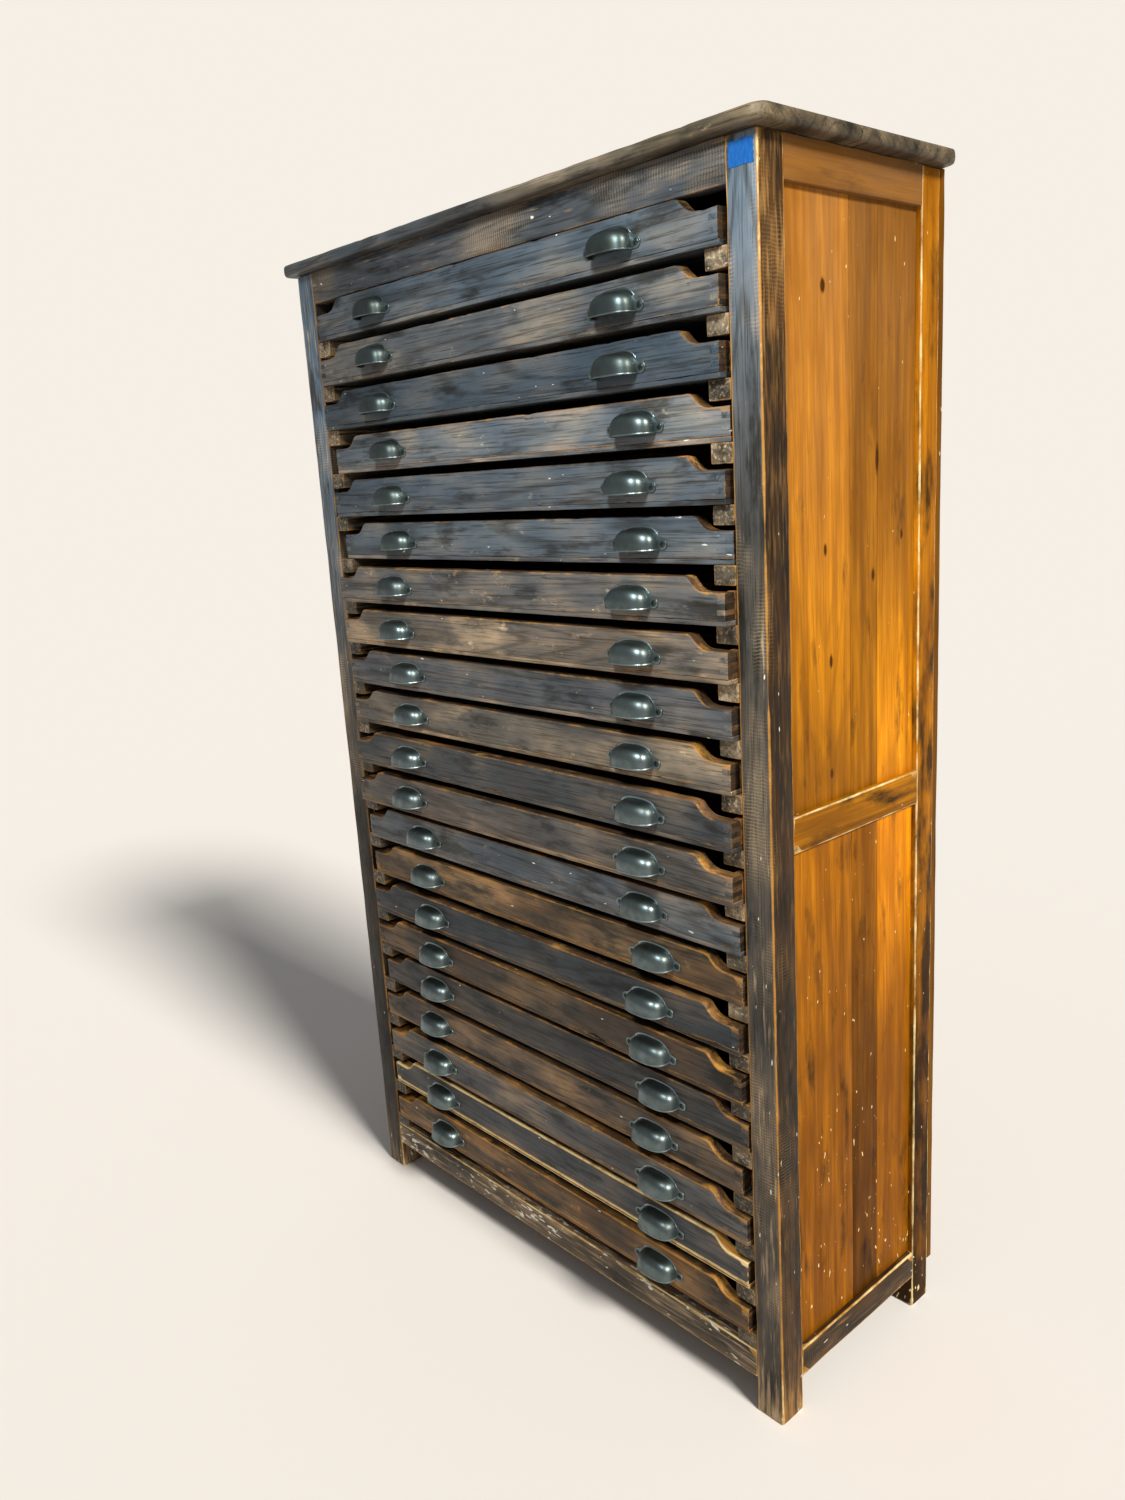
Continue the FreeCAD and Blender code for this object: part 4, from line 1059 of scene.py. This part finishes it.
    def dividers(self, name, number, low, high, sizes):
        """The centre bar and the slats that make the cells."""
        rng = np.random.default_rng(500 + number)
        floor = low[2] + sizes.bottom_thick
        y0 = low[1] + sizes.front_thick
        y1 = high[1] - sizes.side_thick
        middle = (low[0] + high[0]) / 2
        joinery = Joinery()

        def slat(x0, x1, back, front, top, grain):
            add_board(joinery, (x0, back, floor), (x1, front, top), grain,
                      (0.0, rng.uniform(0.8, 1.2), 0.0), BARE, int(rng.integers(1 << 30)),
                      step=200 * MM, wear=0.0, warp=0.0, radii=0.5 * MM, end_radius=0.1 * MM,
                      arc_steps=1)

        slat(middle - sizes.centre_bar / 2, middle + sizes.centre_bar / 2, y0, y1,
             floor + sizes.bar_high, "y")
        top = floor + sizes.slat_high
        rows = ((y0, y0 + sizes.cell_deep, self.long_cells),
                (y0 + sizes.cell_deep + sizes.slat, y0 + 2 * sizes.cell_deep + sizes.slat,
                 self.long_cells),
                (y0 + 2 * (sizes.cell_deep + sizes.slat), y1, self.short_cells))
        halves = ((low[0] + sizes.side_thick, middle - sizes.centre_bar / 2),
                  (middle + sizes.centre_bar / 2, high[0] - sizes.side_thick))
        for x0, x1 in halves:
            for row, (back, front, cells) in enumerate(rows):
                if row:
                    slat(x0, x1, back - sizes.slat, back, top, "x")
                step = (x1 - x0 + sizes.slat) / cells
                for k in range(1, cells):
                    x = x0 + k * step - sizes.slat
                    slat(x, x + sizes.slat, back, front, top, "y")
        finish_piece(joinery, f"{name}_dividers", ["bare_inner_wood"], name)


# ------------------------------------------------------------------ pulls
def grid_faces(rows, columns):
    """Quads of an open grid whose rows run outwards and columns run to the right."""
    r, c = np.meshgrid(np.arange(rows - 1), np.arange(columns - 1), indexing="ij")
    corners = [r * columns + c, r * columns + c + 1, (r + 1) * columns + c + 1,
               (r + 1) * columns + c]
    return np.stack(corners, axis=-1).reshape(-1, 4)


def signed_power(value, exponent):
    """The size of a value to a power, with the value's own sign."""
    return np.sign(value) * np.abs(value) ** exponent


def cup_surface(half, high, reach, rise, turn):
    """A quarter of a superellipsoid, which is fuller than an ellipsoid.

    x = half cos(rise)^p cos(turn)^q, y = -reach cos(rise)^p sin(turn)^q, z = high sin(rise)^p.
    """
    p, q = 0.66, 0.72
    outward = signed_power(np.cos(rise), p)
    x = half * outward * signed_power(np.cos(turn), q)
    y = -reach * outward * signed_power(np.sin(turn), q)
    z = high * signed_power(np.sin(rise), p)
    return np.stack(np.broadcast_arrays(x, y, z), axis=-1)


def tangents(path):
    """Unit vectors along a path, from the differences between its points."""
    steps = np.gradient(path, axis=0)
    return steps / np.linalg.norm(steps, axis=1, keepdims=True)


def swept_ring(path, side, up, width, thick, steps=8):
    """An oval of width by thick carried along a path whose side and up directions are given."""
    angles = np.linspace(0, 2 * math.pi, steps, endpoint=False)
    offsets = (side[:, None, :] * (width / 2 * np.cos(angles))[None, :, None]
               + up[:, None, :] * (thick / 2 * np.sin(angles))[None, :, None])
    return path[:, None, :] + offsets


# How much painted reflection and highlight the parts of a pull get: 0 is dark steel and 1 is
# bright.
BELLY_SHEEN, LIP_HIGHLIGHT, FLANGE_HIGHLIGHT, EAR_HIGHLIGHT = 0.36, 0.85, 0.9, 0.45


class CABINET_OT_pulls(bpy.types.Operator):
    """Build the cup pulls and their screws"""
    bl_idname = "cabinet.pulls"
    bl_label = "Cup pulls"

    rise_steps: IntProperty(name="Rise steps", description="Rows from lip to crown", default=12)
    turn_steps: IntProperty(name="Turn steps", description="Columns round a cup", default=28)
    flange: length("Flange", "Width of the flat rim round a cup", 2.6)
    flange_thick: length("Flange thickness", "Thickness of the flat rim", 1.2)
    bead: length("Bead", "Diameter of the rolled lip", 2.6)

    def execute(self, context):
        sizes = context.scene.cabinet_sizes
        rng = np.random.default_rng(700)
        for number in range(1, CASE_COUNT + 1):
            name = f"drawer_{number:02d}"
            low, high = (np.array(corner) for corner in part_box(f"{name}_pulls"))
            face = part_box(f"{name}_case")[0][1]
            joinery = Joinery()
            # the upper pulls get less of the painted sheen, and those from the middle down get all
            # of it
            painted_sheen = np.interp(number, (1, CASE_COUNT / 2), (0.25, 1.0))
            for x in (low[0] + sizes.ear_reach, high[0] - sizes.ear_reach):
                self.pull(joinery, np.array((x, face, low[2])), sizes, rng, painted_sheen)
            finish_piece(joinery, f"{name}_cup_pulls", ["aged_steel"], name,
                         [f"{name}_pulls"])
        return {"FINISHED"}

    def add_surface(self, joinery, points, faces, painted_sheen=0.0):
        """Add bare metal with a painted sheen: the last argument is how much painted reflection and
        highlight it gets, one number or one for each row.
        """
        flat = points.reshape(-1, 3)
        rows = np.broadcast_to(np.atleast_1d(painted_sheen)[:, None], points.shape[:2]).ravel()

        def tone(places, outward):
            return np.stack([rows, np.ones_like(rows), np.zeros_like(rows)], axis=1)
        joinery.add(flat, [faces], flat, np.ones(len(flat)), tone, BARE)

    def pull(self, joinery, base, sizes, rng, painted_sheen):
        """One pull: cup, lip, flange, ears and screws, about a point at its foot's middle."""
        rise = np.linspace(0, math.pi / 2, self.rise_steps)[:, None]
        turn = np.linspace(math.pi, 0, self.turn_steps)[None, :]
        columns = self.turn_steps
        outer = cup_surface(sizes.cup_half, sizes.cup_high, sizes.cup_reach, rise, turn)
        wall = sizes.cup_wall
        inner = cup_surface(sizes.cup_half - wall, sizes.cup_high - wall, sizes.cup_reach - wall,
                            rise, turn)
        # painted reflection: the belly is painted bright, and the crown stays dark from three
        # quarters up
        worn = np.clip(0.75 - np.linspace(0, 1, self.rise_steps), 0, BELLY_SHEEN) * painted_sheen
        self.add_surface(joinery, base + outer, grid_faces(self.rise_steps, columns), worn)
        self.add_surface(joinery, base + inner, grid_faces(self.rise_steps, columns)[:, ::-1])
        # the rolled lip follows the cup's foot, and gets a painted highlight
        lip = outer[0] + base
        up = np.tile((0.0, 0.0, 1.0), (columns, 1))
        side = np.cross(up, tangents(lip))
        bead = swept_ring(lip + side * 0.2 * self.bead, side, up, self.bead, self.bead)
        self.add_surface(joinery, bead, closed_faces(columns, bead.shape[1])[:, ::-1],
                         LIP_HIGHLIGHT * painted_sheen)
        # the flange follows the cup's outline on the case front, and gets a painted highlight
        arc = np.linspace(math.pi, 0, 2 * columns)
        outline = cup_surface(sizes.cup_half + self.flange / 2, sizes.cup_high + self.flange / 2,
                              0.0, np.minimum(arc, math.pi - arc),
                              np.where(arc > math.pi / 2, math.pi, 0.0))
        outline = outline + base - np.array((0, self.flange_thick / 2, 0))
        forward = np.tile((0.0, -1.0, 0.0), (len(outline), 1))
        side = np.cross(tangents(outline), forward)
        band = swept_ring(outline, side, forward, self.flange + 1 * MM, self.flange_thick)
        self.add_surface(joinery, band, closed_faces(len(outline), band.shape[1]),
                         FLANGE_HIGHLIGHT * painted_sheen)
        for sign in (-1, 1):
            self.ear(joinery, base, sizes, sign)
            centre = base + np.array((sign * (sizes.ear_reach - sizes.ear_high / 2),
                                      -1.6 * MM, sizes.ear_high / 2))
            self.screw(joinery, centre, sizes, rng.uniform(0, math.pi))

    def ear(self, joinery, base, sizes, sign):
        """A flat lobe carried outwards: a half circle at the tip, and a sweep to the cup.

        The sweep adds a height that falls off exponentially from the cup's shoulder.
        """
        radius = sizes.ear_high / 2
        start = sizes.cup_half - 3 * MM  # under the cup's edge
        tip = sizes.ear_reach
        thick, sweep_high, sweep_run = 1.7 * MM, 9 * MM, 4.5 * MM
        turn = np.radians(np.linspace(0, 90, 7))
        x = np.concatenate([np.linspace(start, tip - radius, 7)[:-1],
                            tip - radius + radius * np.sin(turn)])
        reach = np.clip(x - (tip - radius), 0, radius)
        half = np.sqrt(np.clip(radius ** 2 - reach ** 2, 0, None))
        sweep = sweep_high * np.exp(-(x - start) / sweep_run)
        low_d = base[2] + radius - half
        high_d = base[2] + radius + half + sweep
        middle, half_high = (low_d + high_d) / 2, np.maximum((high_d - low_d) / 2, 0.2 * MM)
        section = ring_of(np.full_like(x, base[1] - thick), np.full_like(x, base[1]),
                          middle - half_high, middle + half_high,
                          [np.minimum(0.6 * MM, 0.45 * half_high)] * 4, 2)[0]
        faces = closed_faces(len(x), section.shape[1])
        # the ear gets a painted highlight
        self.add_surface(joinery, carried(base[0] + sign * x, section),
                         faces if sign > 0 else faces[:, ::-1], EAR_HIGHLIGHT)

    def screw(self, joinery, centre, sizes, angle):
        """A slotted round head: a dome over a disc, lower where it lies within the slot.

        The dome is a paraboloid, and the columns crowd together at the sides of the slot.
        """
        radius, rise = sizes.screw_head, 1.3 * MM
        slot_half, slot_deep = 0.6 * MM, 0.8 * MM
        across = np.array((-1, -0.85, -0.6, -0.3, -0.155, -0.14, 0.14, 0.155, 0.3, 0.6, 0.85, 1))
        u = (across * radius)[:, None]
        v = np.sin(np.linspace(-math.pi / 2, math.pi / 2, 9))[None, :]
        v = v * np.sqrt(np.clip(radius ** 2 - u ** 2, 0, None))
        u = np.broadcast_to(u, v.shape)
        height = rise * (1 - (u ** 2 + v ** 2) / radius ** 2)
        height = np.where(np.abs(u) < slot_half, np.minimum(height, rise - slot_deep), height)
        x = u * math.cos(angle) - v * math.sin(angle)
        z = u * math.sin(angle) + v * math.cos(angle)
        points = centre + np.stack([x, -np.maximum(height, 0), z], axis=-1)
        self.add_surface(joinery, points, grid_faces(*u.shape))


class CABINET_OT_sticker(bpy.types.Operator):
    """Build the blank tape sticker on the right post"""
    bl_idname = "cabinet.sticker"
    bl_label = "Sticker"

    def execute(self, context):
        # A flat grid whose edges are torn in small waves, and whose front lifts in dimples. The
        # numbers inside the sines are radians per metre.
        low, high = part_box("post_label")
        columns, rows = 24, 18
        x = np.linspace(low[0], high[0], columns)[None, :]
        z = np.linspace(low[2], high[2], rows)[:, None]
        torn = 0.5 * MM * np.sin(z * 900) * (np.abs(x - x.mean()) / (x.max() - x.mean())) ** 8
        x = np.broadcast_to(x, (rows, columns)) + torn
        z = np.broadcast_to(z, (rows, columns)) + 0.4 * MM * np.sin(x * 300)
        lift = 0.15 * MM * (1 + np.sin(x * 260) * np.sin(z * 310))
        faces = grid_faces(rows, columns)
        joinery = Joinery()
        for y, side_faces in ((low[1] - lift, faces), (np.full_like(x, high[1]), faces[:, ::-1])):
            flat = np.stack([x, y, z], axis=-1).reshape(-1, 3)
            joinery.add(flat, [side_faces], flat, np.ones(len(flat)), (0, 1, 0), BARE)
        finish_piece(joinery, "blank_sticker", ["blue_paper_tape"], "carcass",
                     ["post_label"])
        return {"FINISHED"}


# ------------------------------------------------------------------ stage
IMAGE_HIGH = 1500  # pixels
FOCAL_PIXELS = 1157.33  # the camera's focal length in the same pixels


class CABINET_OT_stage(bpy.types.Operator):
    """Set the camera, the lights and the floor"""
    bl_idname = "cabinet.stage"
    bl_label = "Stage"

    camera_x: length("Camera X", "Camera place to the right", 1271.4)
    camera_y: length("Camera Y", "Camera place to the back", -1190.5)
    camera_z: length("Camera Z", "Camera height", 1247.4)
    yaw: FloatProperty(name="Yaw", description="Turn to the left", default=48.55)
    pitch: FloatProperty(name="Pitch", description="Look up or down", default=-13.284)
    roll: FloatProperty(name="Roll", description="Tilt about the view", default=-3.615)
    sun_turn: FloatProperty(name="Sun turn", description="Sun's turn from right to front",
                            default=7)
    sun_height: FloatProperty(name="Sun height", description="Sun's angle above the floor",
                              default=38)
    sun_power: FloatProperty(name="Sun power", description="Sun's irradiance", default=4.0)
    sun_tint: FloatVectorProperty(name="Sun tint", description="Sun's colour",
                                  default=(1.0, 0.95, 0.86), subtype="COLOR", size=3)
    sky_power: FloatProperty(name="Sky power", description="Even light from all round",
                             default=0.20)
    front_power: FloatProperty(name="Front power", description="Lamp above the front",
                               default=255)

    def execute(self, context):
        scene = context.scene
        scene.view_settings.view_transform = "Standard"
        self.camera(scene)
        self.floor(scene)
        self.sky(scene)
        self.lights(scene)
        return {"FINISHED"}

    def camera(self, scene):
        data = bpy.data.cameras.new("camera")
        data.sensor_fit = "VERTICAL"
        data.sensor_height = 36.0  # millimetres, as the focal length is
        data.lens = FOCAL_PIXELS / IMAGE_HIGH * data.sensor_height
        data.clip_start, data.clip_end = 0.05, 100
        yaw, pitch, roll = (math.radians(a) for a in (self.yaw, self.pitch, self.roll))
        forward = Vector((-math.sin(yaw) * math.cos(pitch), math.cos(yaw) * math.cos(pitch),
                          math.sin(pitch)))
        level = Vector((math.cos(yaw), math.sin(yaw), 0))
        upright = level.cross(forward)
        right = level * math.cos(roll) + upright * math.sin(roll)
        up = upright * math.cos(roll) - level * math.sin(roll)
        turned = Matrix((right, up, -forward)).transposed().to_4x4()
        turned.translation = (self.camera_x, self.camera_y, self.camera_z)
        camera = bpy.data.objects.new("camera", data)
        camera.matrix_world = turned
        scene.collection.objects.link(camera)
        scene.camera = camera

    def floor(self, scene):
        """A wide plane whose lit colour is the backdrop's colour."""
        mesh = bpy.data.meshes.new("floor")
        far = 60.0  # metres from the middle to each edge
        mesh.from_pydata([(-far, -far, 0), (far, -far, 0), (far, far, 0), (-far, far, 0)],
                         [], [(0, 1, 2, 3)])
        floor = bpy.data.objects.new("floor", mesh)
        scene.collection.objects.link(floor)
        material, node = new_material("matt_studio_paper")
        sunlight = self.sun_power * math.sin(math.radians(self.sun_height)) / math.pi
        paper = [channel / (self.sky_power + sunlight * tint)
                 for channel, tint in zip(scene.cabinet_colours.floor, self.sun_tint)]
        node("OutputMaterial", node("BsdfPrincipled", Base_Color=(*paper, 1.0), Roughness=1.0,
                                    Specular_IOR_Level=0.0))
        mesh.materials.append(material)

    def sky(self, scene):
        """The camera sees the backdrop's colour, and the cabinet gets a soft even light."""
        world = bpy.data.worlds.new("studio")
        scene.world = world
        world.use_nodes = True
        world.node_tree.nodes.clear()
        node = functools.partial(add_node, world.node_tree)
        seen = node("Background", opaque_colours().floor)
        light = node("Background", (1, 1, 1, 1), self.sky_power)
        is_seen = node("LightPath", out="Is Camera Ray")
        node("OutputWorld", node("MixShader", is_seen, light, seen))

    def lights(self, scene):
        """The sun, and a soft lamp above the front that leaves the floor out.

        Only the sun throws a shadow on the floor.
        """
        turn, height = math.radians(self.sun_turn), math.radians(self.sun_height)
        aim = Vector((-math.cos(turn) * math.cos(height), math.sin(turn) * math.cos(height),
                      -math.sin(height)))
        self.lamp(scene, "sun", "SUN", (0, 0, 0), aim, energy=self.sun_power,
                  angle=math.radians(14), color=self.sun_tint)
        place = Vector((0.75, -1.6, 2.6))
        lamp = self.lamp(scene, "over_front", "SPOT", place, Vector((0.28, 0, 1.25)) - place,
                         energy=self.front_power, shadow_soft_size=0.30, spot_blend=0.8,
                         spot_size=math.radians(50), color=(0.90, 0.96, 0.97))
        unlit = bpy.data.collections.new("unlit_by_over_front")
        unlit.objects.link(bpy.data.objects["floor"])
        unlit.collection_objects[0].light_linking.link_state = "EXCLUDE"
        lamp.light_linking.receiver_collection = unlit

    def lamp(self, scene, name, kind, place, aim, **settings):
        """A light at a place that shines along aim."""
        data = bpy.data.lights.new(name, kind)
        for key, value in settings.items():
            setattr(data, key, value)
        lamp = bpy.data.objects.new(name, data)
        lamp.location = place
        lamp.rotation_euler = aim.to_track_quat("-Z", "Y").to_euler()
        scene.collection.objects.link(lamp)
        return lamp


class CABINET_PT_sidebar(bpy.types.Panel):
    bl_label = "Type Case Cabinet"
    bl_idname = "CABINET_PT_sidebar"
    bl_space_type = "VIEW_3D"
    bl_region_type = "UI"
    bl_category = "Cabinet"

    def draw(self, context):
        for operator in OPERATORS:
            self.layout.operator(operator.bl_idname)
        for group in (context.scene.cabinet_sizes, context.scene.cabinet_colours):
            column = self.layout.column()
            for key in group.__annotations__:
                column.prop(group, key)


OPERATORS = (
    CABINET_OT_stage, CABINET_OT_frame, CABINET_OT_sides, CABINET_OT_back, CABINET_OT_top,
    CABINET_OT_runners, CABINET_OT_cases, CABINET_OT_pulls, CABINET_OT_sticker,
)
CLASSES = (CabinetSizes, CabinetColours, *OPERATORS, CABINET_PT_sidebar)


def register():
    for cls in CLASSES:
        bpy.utils.register_class(cls)
    bpy.types.Scene.cabinet_sizes = bpy.props.PointerProperty(type=CabinetSizes)
    bpy.types.Scene.cabinet_colours = bpy.props.PointerProperty(type=CabinetColours)


def unregister():
    del bpy.types.Scene.cabinet_colours
    del bpy.types.Scene.cabinet_sizes
    for cls in reversed(CLASSES):
        bpy.utils.unregister_class(cls)


def main():
    register()
    for operator in OPERATORS:
        group, name = operator.bl_idname.split(".")
        getattr(getattr(bpy.ops, group), name)()


if __name__ == "__main__":
    main()
